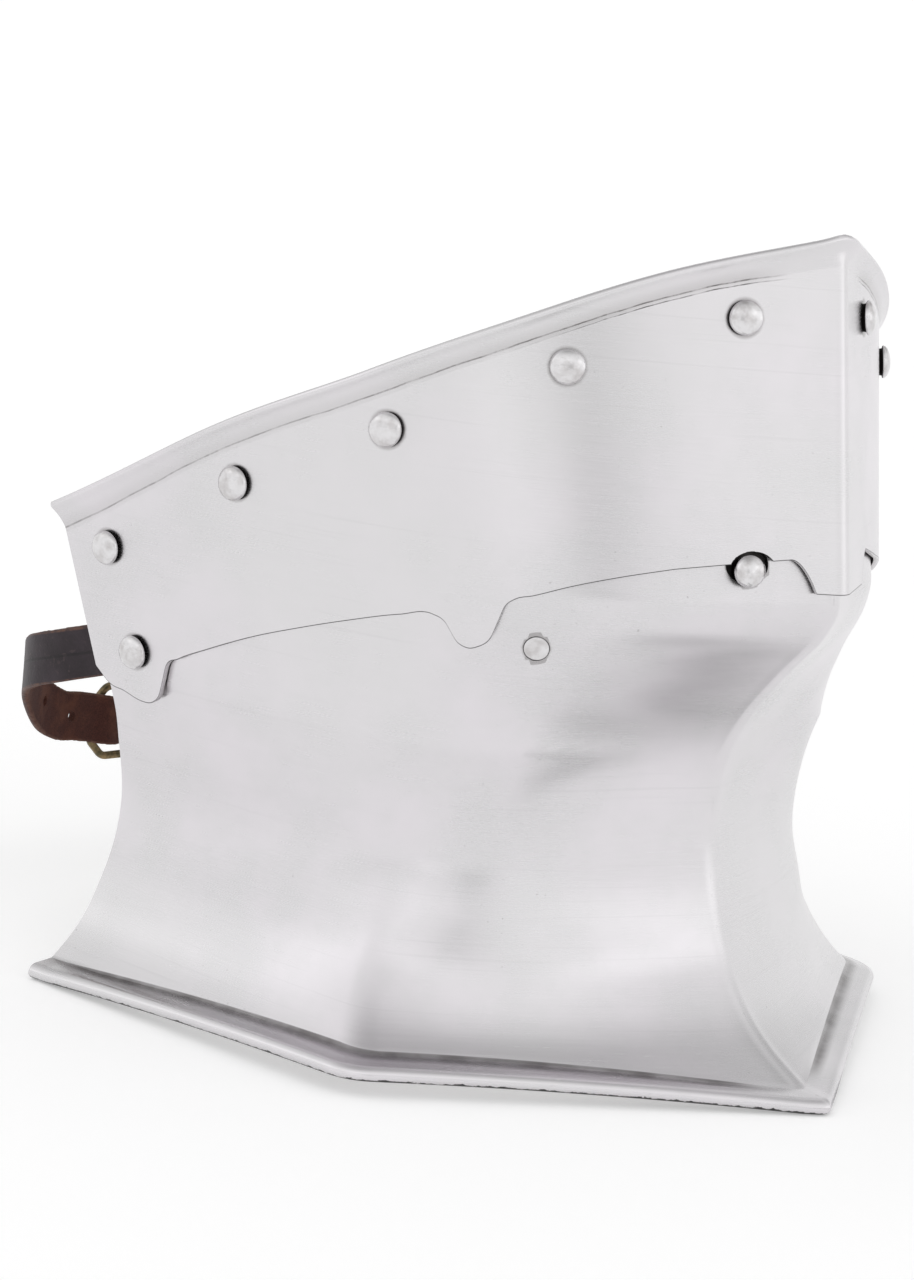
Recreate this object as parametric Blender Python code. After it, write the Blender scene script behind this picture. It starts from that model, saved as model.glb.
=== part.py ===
"""Steel gorget with a falling chin plate (a bevor): two plates, rivets, a spring catch and a neck strap.

Metres, +Z up. The wearer faces -Y and the wearer's left is +X. The gorget stands on its foot, and the
origin is on the floor under the middle of its bounding box.

Both plates are drawn from plan sections. A section is one half of the plate seen from above: a curve
from the front keel, where the two halves meet, to the rear edge. A point on a plate is found from
"along", 0 at the keel and 1 at the rear edge, and from its height. "Back" is the distance behind the
foremost point of the foot.
"""

import math

import bmesh
import bpy
import numpy as np
from mathutils import Matrix, Vector

# Plates
STEEL = 0.0016  # thickness of both plates
SEAT = 0.0003  # gap between pieces that touch
CROWN = 0.2404  # height of the keel where the chin plate's rim begins
DEPTH = 0.2065  # back of the rear edge, from the tip of the foot
HALF_WIDTH = 0.1124  # keel plane to the chin plate, at the height where its drawing starts
LAP_FRONT = 0.0158  # how far the neck plate reaches up behind the chin plate's front edge
LAP_REAR = 0.0128  # and above the pivots
KEEL_GAP = 0.0012  # extra room between the plates at the keel

# Foot: a five-sided plan, with a sunk border and a turned rim
FOOT_CORNER_OUT = 0.1175
FOOT_CORNER_BACK = 0.0795
FOOT_REAR_OUT = 0.1275
FOOT_REAR_BACK = 0.2080
FOOT_CORNER_ALONG = 0.52  # share of the section at which the side corner lies
FOOT_CORNER_ROUND = 0.03  # share of the section over which the corner is rounded
BORDER_WIDTH = 0.0095
BORDER_STEP = 0.0022  # drop from the crease into the border
BORDER_FALL = 0.0003  # further drop across it
FOOT_ARCH = 0.0045  # rise of the rim between the tip and the rear corners
FLARE_HEIGHT = 0.22  # how far up the foot's corners can be seen, share of CROWN
FOOT_FLAT = 0.0004  # taken off the lowest stretches, so that they stand flat
CREASE_HEIGHT = 0.0068  # crease above the rim at the tip
CREASE_EXTRA = 0.0015  # and what it gains at the side corners
RIM_BEAD = 0.0019  # radius of the turned rim
BEAD_FLAT = 0.0008  # half width of its flat underside

# Top rim of the chin plate
RIM_HEIGHT = 0.0092
RIM_FLARE = 0.0036
RIM_ROLL = 0.0011  # how far the roll stands out at the edge
RIM_CLIPPED = 0.80  # share of the rim's height that is left at the keel and at the rear corners
RIM_CLIP_REACH = 0.045  # share of the section over which it comes back

# Pivots and rivets
PIVOT_ALONG = 0.960
PIVOT_ABOVE = 0.0145  # pivot above the lowest point of the chin plate's rear lobe
ROOM_BEHIND = 0.13  # how the neck plate turns in behind the pivots, so that the chin plate can fall
ROOM_BELOW = 0.045  # and below them
ROOM_START = 0.0060  # distance over which it starts to turn in
ROOM_FULL = 0.0182  # depth below the pivots down to which this is in full
ROOM_END = 0.0432  # and at which it has gone
HEAD_RADIUS = 0.0050
HEAD_HEIGHT = 0.0036
SHANK_RADIUS = 0.0022
BURR_RADIUS = 0.0037
BURR_HEIGHT = 0.0012
RIM_RIVET_DROP = 0.0100  # rivets below the rim's crease

# Spring catch, on the wearer's right
STUD_RADIUS = 0.0046
STUD_STANDS = 0.0062  # top of the stud above the neck plate
STUD_ROOM = 0.0010  # radial room of the stud in its hole and notch
STUD_BELOW = 0.0039  # middle of the stud below the chin plate's front edge
STUD_ALONG = 0.120
SPRING_DROP = 0.0275  # spring's rivet below the stud
SPRING_ALONG = 0.433
SPRING_WIDTH = 0.0130
SPRING_STEEL = 0.0010
SPRING_TAIL = 0.09  # share of the spring's run that lies beyond its rivet and its stud
CATCH_RIVET_RADIUS = 0.0036
CATCH_RIVET_PROUD = 0.0001

# Neck strap and buckle
STRAP_WIDTH = 0.0160
LEATHER = 0.0025
STRAP_INSET = 0.0049  # middle of the leather, inside the chin plate's outer face at the rear edge
STRAP_REACH = 0.0765  # depth of the strap's loop behind the rear edge
STRAP_SAG = 0.0500  # drop of the loop from the pivots to its middle
STRAP_HOLE = 0.0017
HOLE_PITCH = 0.0215
FIRST_HOLE = 0.0139  # first free hole before the buckle's tip bar
TAIL_HOLE = 0.0160  # first hole past the heel bar
FOLD_TURN = 0.0050  # past the heel bar, where the fold starts to turn
FOLD_MEET = 0.0120  # where its two layers meet
FOLD_END = 0.0240  # and where the inner layer ends
TAIL_END = 0.0460  # tip of the hole strap, left of the keel plane
TAIL_POINT = 0.0140  # length over which that tip comes to rest on the other strap
STRAP_STEP = 0.0060  # length of a facet of the leather
FOLD_STEP = 0.0040  # and in the fold
BUCKLE_OUT = -0.0370  # middle of the buckle's opening, right of the keel plane
BUCKLE_LENGTH = 0.0240
BUCKLE_HEIGHT = 0.0260
BUCKLE_BAR = 0.0026
BUCKLE_THICKNESS = 0.0020
TONGUE_RADIUS = 0.0011
TONGUE_ROOM = 0.0008  # play of the tongue in its slots
TONGUE_SLOT = 0.0110  # length of the hole strap's slot

# Keel of the neck plate. Height is a share of CROWN, back of DEPTH and pull of HALF_WIDTH.
KEEL_ROWS = [
    # height, back, angle, pull
    (0.0200, 0.046, 34.0, 0.74),
    (0.0625, 0.133, 28.0, 0.86),
    (0.1250, 0.201, 21.0, 0.90),
    (0.1875, 0.235, 17.0, 0.90),
    (0.2500, 0.256, 16.5, 0.82),
    (0.3125, 0.265, 17.5, 0.74),
    (0.3750, 0.258, 19.5, 0.71),
    (0.4375, 0.225, 21.5, 0.70),
    (0.5000, 0.168, 24.0, 0.71),
    (0.5625, 0.1050, 27.0, 0.74),
    (0.5940, 0.0885, 28.6, 0.76),
    (0.6250, 0.0903, 30.0, 0.775),
]

# Rear edge of the neck plate. Height is a share of CROWN, out and pull of HALF_WIDTH.
REAR_ROWS = [
    # height, out, splay, pull
    (0.0200, 1.064, 4.5, 0.90),
    (0.0625, 0.985, 4.0, 0.92),
    (0.1250, 0.925, 2.5, 0.96),
    (0.1875, 0.893, 1.5, 1.02),
    (0.2500, 0.895, 2.0, 1.10),
    (0.3125, 0.940, 4.0, 1.22),
    (0.3952, 1.000, 7.0, 1.40),
]

# The chin plate is ruled between two sections. Shares as above, height as the keel and rear edge lean.
CHIN_KEEL = {"back": 0.0397, "lean": 0.167, "angle": 30.0}
CHIN_PULL = {"keel_low": 0.747, "keel_high": 0.820, "side_low": 1.397, "side_high": 1.500}
CHIN_REAR = {"out_lean": 0.139, "back_lean": 0.3276, "splay": 7.0}

# Lower edge of the chin plate behind its front tab. Height is a share of CROWN.
EDGE_ROWS = [
    # along, height
    (0.228, 0.639),
    (0.312, 0.625),
    (0.391, 0.609),
    (0.450, 0.594),
    (0.480, 0.587),
    (0.496, 0.577),
    (0.508, 0.560),
    (0.524, 0.538),
    (0.543, 0.527),
    (0.563, 0.524),
    (0.575, 0.530),
    (0.587, 0.549),
    (0.603, 0.556),
    (0.649, 0.549),
    (0.715, 0.531),
    (0.778, 0.509),
    (0.838, 0.483),
    (0.889, 0.454),
    (0.919, 0.434),
    (0.933, 0.421),
    (0.940, 0.400),
    (0.947, 0.380),
    (0.954, 0.371),
    (0.965, 0.369),
    (0.979, 0.376),
    (0.992, 0.382),
    (1.000, 0.398),
]
# Crease under the top rim. Height is a share of CROWN.
CREASE_ROWS = [
    # along, height
    (0.000, 1.0000),
    (0.022, 0.9942),
    (0.139, 0.9692),
    (0.393, 0.8927),
    (0.631, 0.8032),
    (0.850, 0.6889),
    (1.000, 0.5628),
]

EDGE_FRONT_HEIGHT = 0.658  # lower edge beside the front tab, share of CROWN
TAB_HEIGHT = 0.620  # foot of the front tab, share of CROWN
TAB_STEP = 0.030  # share of the section over which the tab's side rises
TAB_ALONG = {-1: 0.037, 1: 0.100}  # where that side starts, on the right and the left

RIM_RIVETS_ALONG = [0.119, 0.367, 0.630, 0.822, 0.964]
LEFT, RIGHT = 1, -1
SIDE_NAMES = {LEFT: "left", RIGHT: "right"}

CHIN_START = REAR_ROWS[-1][0] * CROWN  # height of the chin plate's lowest section
PIVOT_HEIGHT = min(row[1] for row in EDGE_ROWS) * CROWN + PIVOT_ABOVE
STUD_HEIGHT = EDGE_FRONT_HEIGHT * CROWN - STUD_BELOW
SPRING_HEIGHT = STUD_HEIGHT - SPRING_DROP
STRAP_OUT = HALF_WIDTH - STRAP_INSET
STRAP_BACK = DEPTH + STRAP_REACH  # middle of the leather at the back of the loop
BODY_BACK = STRAP_BACK + 3.0 * LEATHER  # outermost leather behind the buckle
CENTRE_BACK = BODY_BACK / 2.0
STEP = 1e-5  # for slopes


def world(point):
    """Place a point given as (out, back, height)."""
    return Vector((point[0], point[1] - CENTRE_BACK, point[2]))


def smooth_rows(rows, unit_sizes, height):
    """Read a table at some heights with a smooth curve through its rows."""
    table = np.array(rows) * np.array(unit_sizes)
    levels = table[:, 0]
    clipped = np.clip(height, levels[0], levels[-1])
    low = np.clip(np.searchsorted(levels, clipped) - 1, 0, len(levels) - 2)
    span = levels[low + 1] - levels[low]
    u = (clipped - levels[low]) / span
    found = []
    for column in table[:, 1:].T:
        slope = np.gradient(column, levels)
        found.append(
            (1 + 2 * u) * (1 - u) ** 2 * column[low]
            + u * (1 - u) ** 2 * span * slope[low]
            + u * u * (3 - 2 * u) * column[low + 1]
            + u * u * (u - 1) * span * slope[low + 1]
        )
    return found


def section(along, keel_back, keel_angle, keel_pull, rear_out, rear_back, splay, side_pull):
    """One half of a plan section, a cubic curve from the keel to the rear edge."""
    angle, spread = np.radians(keel_angle), np.radians(splay)
    out = (
        3 * (1 - along) ** 2 * along * keel_pull * np.cos(angle)
        + 3 * (1 - along) * along**2 * (rear_out - side_pull * np.sin(spread))
        + along**3 * rear_out
    )
    back = (
        (1 - along) ** 3 * keel_back
        + 3 * (1 - along) ** 2 * along * (keel_back + keel_pull * np.sin(angle))
        + 3 * (1 - along) * along**2 * (rear_back - side_pull * np.cos(spread))
        + along**3 * rear_back
    )
    return out, back


def chin_numbers(height):
    """Keel and rear values of the chin plate's section at a height."""
    rise = height - CHIN_START
    share = rise / (CROWN - CHIN_START)
    keel_back = CHIN_KEEL["back"] * DEPTH + CHIN_KEEL["lean"] * rise
    keel_pull = (CHIN_PULL["keel_low"] * (1 - share) + CHIN_PULL["keel_high"] * share) * HALF_WIDTH
    side_pull = (CHIN_PULL["side_low"] * (1 - share) + CHIN_PULL["side_high"] * share) * HALF_WIDTH
    rear_out = HALF_WIDTH + CHIN_REAR["out_lean"] * rise
    rear_back = DEPTH + CHIN_REAR["back_lean"] * rise
    return keel_back, CHIN_KEEL["angle"], keel_pull, rear_out, rear_back, CHIN_REAR["splay"], side_pull


def eased(value, low, high):
    """0 below low, 1 above high and a smooth rise between."""
    share = np.clip((value - low) / (high - low), 0.0, 1.0)
    return share * share * (3 - 2 * share)


def pivot_room(back, height):
    """How far the neck plate turns in behind and below the pivots."""
    behind = np.maximum(back - PIVOT_BACK, 0.0)
    below = np.maximum(PIVOT_HEIGHT - height, 0.0)
    room = ROOM_BEHIND * behind**2 / (behind + ROOM_START)
    room = room + ROOM_BELOW * below * eased(back, PIVOT_BACK - 3 * ROOM_START, PIVOT_BACK)
    return room * eased(height, PIVOT_HEIGHT - ROOM_END, PIVOT_HEIGHT - ROOM_FULL)


def chin_face(along, height):
    """Outer face of the chin plate's left half."""
    out, back = section(along, *chin_numbers(height))
    return np.stack([out, back, height + 0 * out], axis=-1)


PIVOT_BACK = float(chin_face(np.array(PIVOT_ALONG), np.array(PIVOT_HEIGHT))[1])


def foot_share(along):
    """How far a point of the foot has risen, from 0 at the tip to 1 at the corner and 0 at the rear."""
    front = along / FOOT_CORNER_ALONG
    rear = (along - FOOT_CORNER_ALONG) / (1 - FOOT_CORNER_ALONG)
    return np.where(along < FOOT_CORNER_ALONG, 2 * front - front**2, 1 - rear**2)


def rim_height(along):
    """Underside of the foot's rim. The lowest stretches are flat, on the floor."""
    return np.maximum(0.0, FOOT_ARCH * foot_share(along) - FOOT_FLAT)


def crease_height(along):
    return rim_height(along) + CREASE_HEIGHT + CREASE_EXTRA * foot_share(along)


def foot_line(along, inset):
    """Plan of the foot's edge, moved in by an inset and rounded at its side corner."""
    tip = np.array([0.0, 0.0])
    corner = np.array([FOOT_CORNER_OUT, FOOT_CORNER_BACK])
    rear = np.array([FOOT_REAR_OUT, FOOT_REAR_BACK])
    front_way = (corner - tip) / np.linalg.norm(corner - tip)
    side_way = (rear - corner) / np.linalg.norm(rear - corner)
    front_in = np.array([-front_way[1], front_way[0]])
    side_in = np.array([-side_way[1], side_way[0]])
    tip = np.array([0.0, inset / front_in[1]])
    mitre = (front_in + side_in) / (1 + front_in @ side_in)
    corner = corner + mitre * inset
    rear = rear + side_in * inset
    half = FOOT_CORNER_ROUND
    start = tip + (corner - tip) * (1 - half / FOOT_CORNER_ALONG)
    end = corner + (rear - corner) * half / (1 - FOOT_CORNER_ALONG)
    front = np.clip(along / FOOT_CORNER_ALONG, 0, 1)[..., None]
    side = np.clip((along - FOOT_CORNER_ALONG) / (1 - FOOT_CORNER_ALONG), 0, 1)[..., None]
    turn = np.clip((along - FOOT_CORNER_ALONG + half) / (2 * half), 0, 1)[..., None]
    ahead = along[..., None] < FOOT_CORNER_ALONG
    straight = np.where(ahead, tip + (corner - tip) * front, corner + (rear - corner) * side)
    bend = (1 - turn) ** 2 * start + 2 * (1 - turn) * turn * corner + turn**2 * end
    return np.where(abs(along[..., None] - FOOT_CORNER_ALONG) < half, bend, straight)


def neck_numbers(height):
    """Keel and rear values of the neck plate's section at a height."""
    chin = chin_numbers(height)
    keel_back, keel_angle, keel_pull = smooth_rows(KEEL_ROWS, (CROWN, DEPTH, 1.0, HALF_WIDTH), height)
    rear_out, splay, side_pull = smooth_rows(REAR_ROWS, (CROWN, HALF_WIDTH, 1.0, HALF_WIDTH), height)
    above_keel = height > KEEL_ROWS[-1][0] * CROWN
    above_rear = height > REAR_ROWS[-1][0] * CROWN
    return (
        np.where(above_keel, chin[0] + KEEL_GAP, keel_back),
        np.where(above_keel, chin[1], keel_angle),
        np.where(above_keel, chin[2], keel_pull),
        np.where(above_rear, chin[3], rear_out),
        np.where(above_rear, chin[4], DEPTH),
        np.where(above_rear, chin[5], splay),
        np.where(above_rear, chin[6], side_pull),
    )


def neck_guide(along, height):
    """The face that the neck plate's left half is laid under, one plate's thickness outside it."""
    out, back = section(along, *neck_numbers(height))
    level = crease_height(along)
    foot_out, foot_back = section(along, *neck_numbers(level))
    target = foot_line(along, BORDER_WIDTH - STEEL)
    fade = np.clip(1 - (height - level) / (FLARE_HEIGHT * CROWN), 0, 1) ** 2
    out = out + (target[..., 0] - foot_out) * fade
    back = back + (target[..., 1] - foot_back) * fade
    return np.stack([out - pivot_room(back, height), back, height + 0 * out], axis=-1)


def outward(face, along, height):
    """Unit normals of a face."""
    low, high = np.maximum(along - STEP, 0.0), np.minimum(along + STEP, 1.0)
    across = face(high, height) - face(low, height)
    up = face(along, height + STEP) - face(along, height - STEP)
    normal = np.cross(across, up)
    normal /= np.linalg.norm(normal, axis=-1, keepdims=True)
    facing = normal[..., 0:1] - normal[..., 1:2]
    return np.where(facing < 0, -normal, normal)


def sunk(face, along, height, depth):
    """Points a depth under a face. On the keel they stay in the keel plane."""
    along, height = np.broadcast_arrays(np.asarray(along, float), np.asarray(height, float))
    normal = outward(face, along, height)
    middle = normal * np.array([0.0, 1.0, 1.0])
    on_keel = along[..., None] < STEP
    lean = np.sum(middle * normal, axis=-1, keepdims=True)
    way = np.where(on_keel, middle / np.maximum(lean, STEP), normal)
    return face(along, height) - way * depth


def chin_skin(along, height, depth=0.0):
    return sunk(chin_face, along, height, depth)


def neck_skin(along, height, depth=0.0):
    return sunk(neck_guide, along, height, STEEL + SEAT + depth)


def mirror(points, side):
    return points * np.array([side, 1.0, 1.0])


def material(name, colour, roughness, metallic):
    made = bpy.data.materials.new(name)
    made.use_nodes = True
    shader = made.node_tree.nodes["Principled BSDF"]
    shader.inputs["Base Color"].default_value = (*colour, 1.0)
    shader.inputs["Roughness"].default_value = roughness
    shader.inputs["Metallic"].default_value = metallic
    made.diffuse_color = (*colour, 1.0)
    return made


def new_object(name, bm, look=None, sharp=35.0):
    """Turn a bmesh into an object with one material and smooth shading."""
    bmesh.ops.recalc_face_normals(bm, faces=bm.faces)
    mesh = bpy.data.meshes.new(name)
    bm.to_mesh(mesh)
    bm.free()
    mesh.shade_smooth()
    mesh.set_sharp_from_angle(angle=math.radians(sharp))
    thing = bpy.data.objects.new(name, mesh)
    bpy.context.collection.objects.link(thing)
    if look:
        mesh.materials.append(look)
    return thing


def loft(bm, loops, pairs=None):
    """Join closed loops of points into one tube. Its ends are filled, by pairs of points where given."""
    rings = [[bm.verts.new(world(p)) for p in loop] for loop in loops]
    count = len(rings[0])
    for first, second in zip(rings, rings[1:]):
        for i in range(count):
            j = (i + 1) % count
            bm.faces.new((first[i], first[j], second[j], second[i]))
    for ring in (rings[0], rings[-1]):
        if pairs:
            for low in range(pairs):
                bm.faces.new((ring[low], ring[low + 1], ring[count - 2 - low], ring[count - 1 - low]))
            bm.faces.new(ring[pairs : count - pairs])
        else:
            bm.faces.new(ring)


def both_sides(columns):
    """Columns from the right rear edge round the keel to the left rear edge, as (side, along)."""
    right = [(RIGHT, t) for t in reversed(columns) if t > 0]
    return right + [(LEFT, t) for t in columns]


# Neck plate


def border_profile(along, crease):
    """Sunk border and turned rim under one point of the crease, from the crease out and back under."""
    edge = foot_line(np.array([along]), 0.0)[0]
    low = float(rim_height(np.array([along]))[0])
    run = np.array([edge[0] - crease[0], edge[1] - crease[1]])
    width = np.linalg.norm(run)
    way = run / width
    floor = crease[2] - BORDER_STEP
    centre = width - RIM_BEAD

    def place(distance, height):
        return (crease[0] + way[0] * distance, crease[1] + way[1] * distance, height)

    def on_bead(degrees):
        angle = math.radians(degrees)
        return place(centre + RIM_BEAD * math.cos(angle), low + RIM_BEAD * (1 + math.sin(angle)))

    low_floor = floor - BORDER_FALL
    top = [place(0.07 * width, floor), place(0.36 * width, low_floor)]
    top += [on_bead(a) for a in (135, 80, 25, -35)]
    flat = [place(centre + BEAD_FLAT, low), place(centre - BEAD_FLAT, low), on_bead(220)]
    under = [place(0.36 * width, low_floor - STEEL), place(0.02 * width, floor - STEEL)]
    return top + flat, under


def neck_columns():
    """Places along one half of the neck plate at which its mesh has a column."""
    start, end = FOOT_CORNER_ALONG - FOOT_CORNER_ROUND, FOOT_CORNER_ALONG + FOOT_CORNER_ROUND
    front = list(np.linspace(0.0, start, 12))
    turn = list(np.linspace(start, end, 5))[1:]
    rear = list(np.linspace(end, 1.0, 12))[1:]
    flats = [0.012, 0.990]
    return sorted(front + turn + rear + flats)


NECK_SHARES = np.array([1.0, 0.90, 0.82, 0.74, 0.65, 0.55, 0.45, 0.35, 0.25, 0.16, 0.08, 0.0])


def neck_heights(along):
    """Heights of the mesh's rows, from the top edge down to the crease."""
    low = float(crease_height(np.array(along)))
    front, rear = EDGE_FRONT_HEIGHT * CROWN + LAP_FRONT, PIVOT_HEIGHT + LAP_REAR
    high = front + (rear - front) * along
    return low + (high - low) * NECK_SHARES


def neck_facet(along, height, depth=0.0):
    """A point on the neck plate's flat facets, or at a depth under them."""
    columns = neck_columns()
    first = max(int(np.searchsorted(columns, along)) - 1, 0)
    found = []
    for column in columns[first : first + 2]:
        points = neck_skin(column, neck_heights(column), depth)[::-1]
        found.append([np.interp(height, points[:, 2], points[:, k]) for k in range(3)])
    share = (along - columns[first]) / (columns[first + 1] - columns[first])
    return np.array(found[0]) * (1 - share) + np.array(found[1]) * share


def neck_plate(look):
    """Lower plate: neck wall, flared foot, sunk border and turned rim, in one closed sheet."""
    loops = []
    for side, along in both_sides(neck_columns()):
        heights = neck_heights(along)
        outer = neck_skin(along, heights)
        inner = neck_skin(along, heights, STEEL)
        edge, under = border_profile(along, outer[-1])
        loop = list(outer) + edge + under + list(inner[::-1])
        loops.append([mirror(np.array(p), side) for p in loop])
    bm = bmesh.new()
    loft(bm, loops, pairs=len(NECK_SHARES) + 1)
    return new_object("neck_plate", bm, look)


# Chin plate


def crease_line(along):
    """Height of the crease under the top rim, at one share of the section."""
    return float(smooth_rows(CREASE_ROWS, (1.0, CROWN), np.array(along))[0])


def lower_edge(along, side):
    """Height of the scalloped lower edge of the chin plate."""
    start = TAB_ALONG[side]
    lip = EDGE_ROWS[0]
    if along >= lip[0]:
        return float(smooth_rows(EDGE_ROWS, (1.0, CROWN), np.array(along))[0])
    if along <= start:
        return TAB_HEIGHT * CROWN
    if along < start + TAB_STEP:
        share = (along - start) / TAB_STEP
        share = math.sin(share * math.pi / 2) ** 0.8
        return (TAB_HEIGHT + (EDGE_FRONT_HEIGHT - TAB_HEIGHT) * share) * CROWN
    share = (along - start - TAB_STEP) / (lip[0] - start - TAB_STEP)
    return (EDGE_FRONT_HEIGHT + (lip[1] - EDGE_FRONT_HEIGHT) * share) * CROWN


def rim_profile(along, height):
    """Flared and rolled top rim over one point of the crease: outer points, then inner ones."""
    base = chin_skin(along, height)
    normal = outward(chin_face, np.array(along), np.array(height))
    ahead, behind = max(along - 0.01, 0.0), min(along + 0.01, 1.0)
    run = chin_skin(behind, crease_line(behind)) - chin_skin(ahead, crease_line(ahead))
    if along == 0.0:
        normal = normal * np.array([0.0, 1.0, 1.0])
        normal = normal / np.linalg.norm(normal)
        run = np.array([1.0, 0.0, 0.0])
    up = np.cross(run, normal)
    up = up / np.linalg.norm(up)
    up = up if up[2] > 0 else -up
    whole = float(eased(min(along, 1 - along), 0.0, RIM_CLIP_REACH))
    tall = RIM_HEIGHT * (RIM_CLIPPED + (1 - RIM_CLIPPED) * whole)
    steps = [(0.30, 0.16, 0.0), (0.78, 0.72, 0.0), (1.0, 1.0, RIM_ROLL)]
    outer = [base + up * tall * u + normal * (RIM_FLARE * o + extra) for u, o, extra in steps]
    top = outer[-1] + up * STEEL * 0.8 - normal * (RIM_ROLL + 0.3 * STEEL)
    inner = [base + up * tall * u + normal * (RIM_FLARE * o - STEEL) for u, o, _ in reversed(steps)]
    return outer + [top], inner


def chin_plate(look):
    """Upper plate, with its keel, flared top rim and scalloped lower edge."""
    edge_columns = [row[0] for row in EDGE_ROWS]
    shares = [0.0, 0.30, 0.62, 1.0]
    loops = []
    sides = {}
    for side in (RIGHT, LEFT):
        start = TAB_ALONG[side]
        step = [start + TAB_STEP * k for k in (0.0, 0.25, 0.55, 1.0)]
        fill = [t for t in (0.02, 0.06, 0.085, 0.12, 0.16, 0.195) if min(abs(t - s) for s in step) > 0.008]
        extra = [0.27, 0.35, 0.68, 0.745]
        sides[side] = sorted([0.0] + step + fill + extra + edge_columns)
    path = [(RIGHT, t) for t in reversed(sides[RIGHT]) if t > 0] + [(LEFT, t) for t in sides[LEFT]]
    for side, along in path:
        low, high = lower_edge(along, side), crease_line(along)
        heights = low + (high - low) * np.array(shares)
        outer = chin_skin(along, heights)
        inner = chin_skin(along, heights, STEEL)
        rim, rim_inner = rim_profile(along, high)
        loop = list(outer) + rim + rim_inner + list(inner[::-1])
        loops.append([mirror(np.array(p), side) for p in loop])
    bm = bmesh.new()
    loft(bm, loops, pairs=len(shares) + 2)
    return new_object("chin_plate", bm, look)


# Rivets and holes


def turned(bm, profile, segments):
    """Turn a profile of (radius, height) pairs about Z. Its first and last points are on the axis."""
    rings = []
    for radius, height in profile[1:-1]:
        ring = []
        for k in range(segments):
            angle = 2 * math.pi * k / segments
            ring.append(bm.verts.new((radius * math.cos(angle), radius * math.sin(angle), height)))
        rings.append(ring)
    poles = [bm.verts.new((0, 0, profile[0][1])), bm.verts.new((0, 0, profile[-1][1]))]
    for first, second in zip(rings, rings[1:]):
        for k in range(segments):
            following = (k + 1) % segments
            bm.faces.new((first[k], first[following], second[following], second[k]))
    for ring, pole in ((rings[0], poles[0]), (rings[-1], poles[1])):
        for k in range(segments):
            bm.faces.new((ring[k], ring[(k + 1) % segments], pole))


def rivet_profile(head_radius, head_height, grip, burr_radius, burr_height, shank, straight=0.0):
    """Domed head above z = 0, shank through the grip, and burr below it."""
    dome = [(0.0, straight + head_height)]
    for degrees in (28, 60):
        angle = math.radians(degrees)
        dome.append((head_radius * math.sin(angle), straight + head_height * math.cos(angle)))
    dome.append((head_radius, straight))
    if straight:
        dome.append((head_radius, SEAT))
    else:
        dome[-1] = (head_radius, SEAT)
    neck = [(shank, SEAT), (shank, -grip - SEAT), (burr_radius, -grip - SEAT)]
    burr = [(0.7 * burr_radius, -grip - SEAT - 0.8 * burr_height), (0.0, -grip - SEAT - burr_height)]
    return dome + neck + burr


def facing(point, normal):
    """Matrix that puts local +Z on a normal at a point given as (out, back, height)."""
    turn = Vector(normal).normalized().to_track_quat("Z", "Y").to_matrix().to_4x4()
    return Matrix.Translation(world(point)) @ turn


def place_turned(name, profile, seat, look, segments=12):
    bm = bmesh.new()
    turned(bm, profile, segments)
    thing = new_object(name, bm, look, sharp=40.0)
    thing.matrix_world = seat
    return thing


def chin_seat(along, height, side):
    point = mirror(chin_skin(along, height), side)
    normal = mirror(outward(chin_face, np.array(along), np.array(height)), side)
    return facing(point, normal)


def neck_seat(along, height, side):
    point = mirror(neck_facet(along, height), side)
    normal = mirror(outward(neck_guide, np.array(along), np.array(height)), side)
    return facing(point, normal)


def pivot_seat(side):
    return chin_seat(PIVOT_ALONG, PIVOT_HEIGHT, side)


def cutter(name, holes):
    """One cutter made of plain cylinders, each (matrix, radius, above, below)."""
    bm = bmesh.new()
    for matrix, radius, above, below in holes:
        made = bmesh.ops.create_cone(
            bm, cap_ends=True, segments=12, radius1=radius, radius2=radius, depth=above + below
        )
        shift = Matrix.Translation((0, 0, (above - below) / 2))
        bmesh.ops.transform(bm, matrix=matrix @ shift, verts=made["verts"])
    thing = new_object(name, bm)
    thing.hide_render = True
    thing.display_type = "WIRE"
    return thing


def slot_cutter(name, centre, size):
    """A cutter for a slot in a strap, an upright box."""
    bm = bmesh.new()
    bmesh.ops.create_cube(bm, matrix=Matrix.Translation(world(centre)) @ Matrix.Diagonal((*size, 1.0)))
    thing = new_object(name, bm)
    thing.hide_render = True
    thing.display_type = "WIRE"
    return thing


def cut(thing, tool):
    modifier = thing.modifiers.new("holes", "BOOLEAN")
    modifier.operation = "DIFFERENCE"
    modifier.solver = "EXACT"
    modifier.object = tool


def rim_rivet_seat(along, side):
    return chin_seat(along, crease_line(along) - RIM_RIVET_DROP, side)


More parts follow.
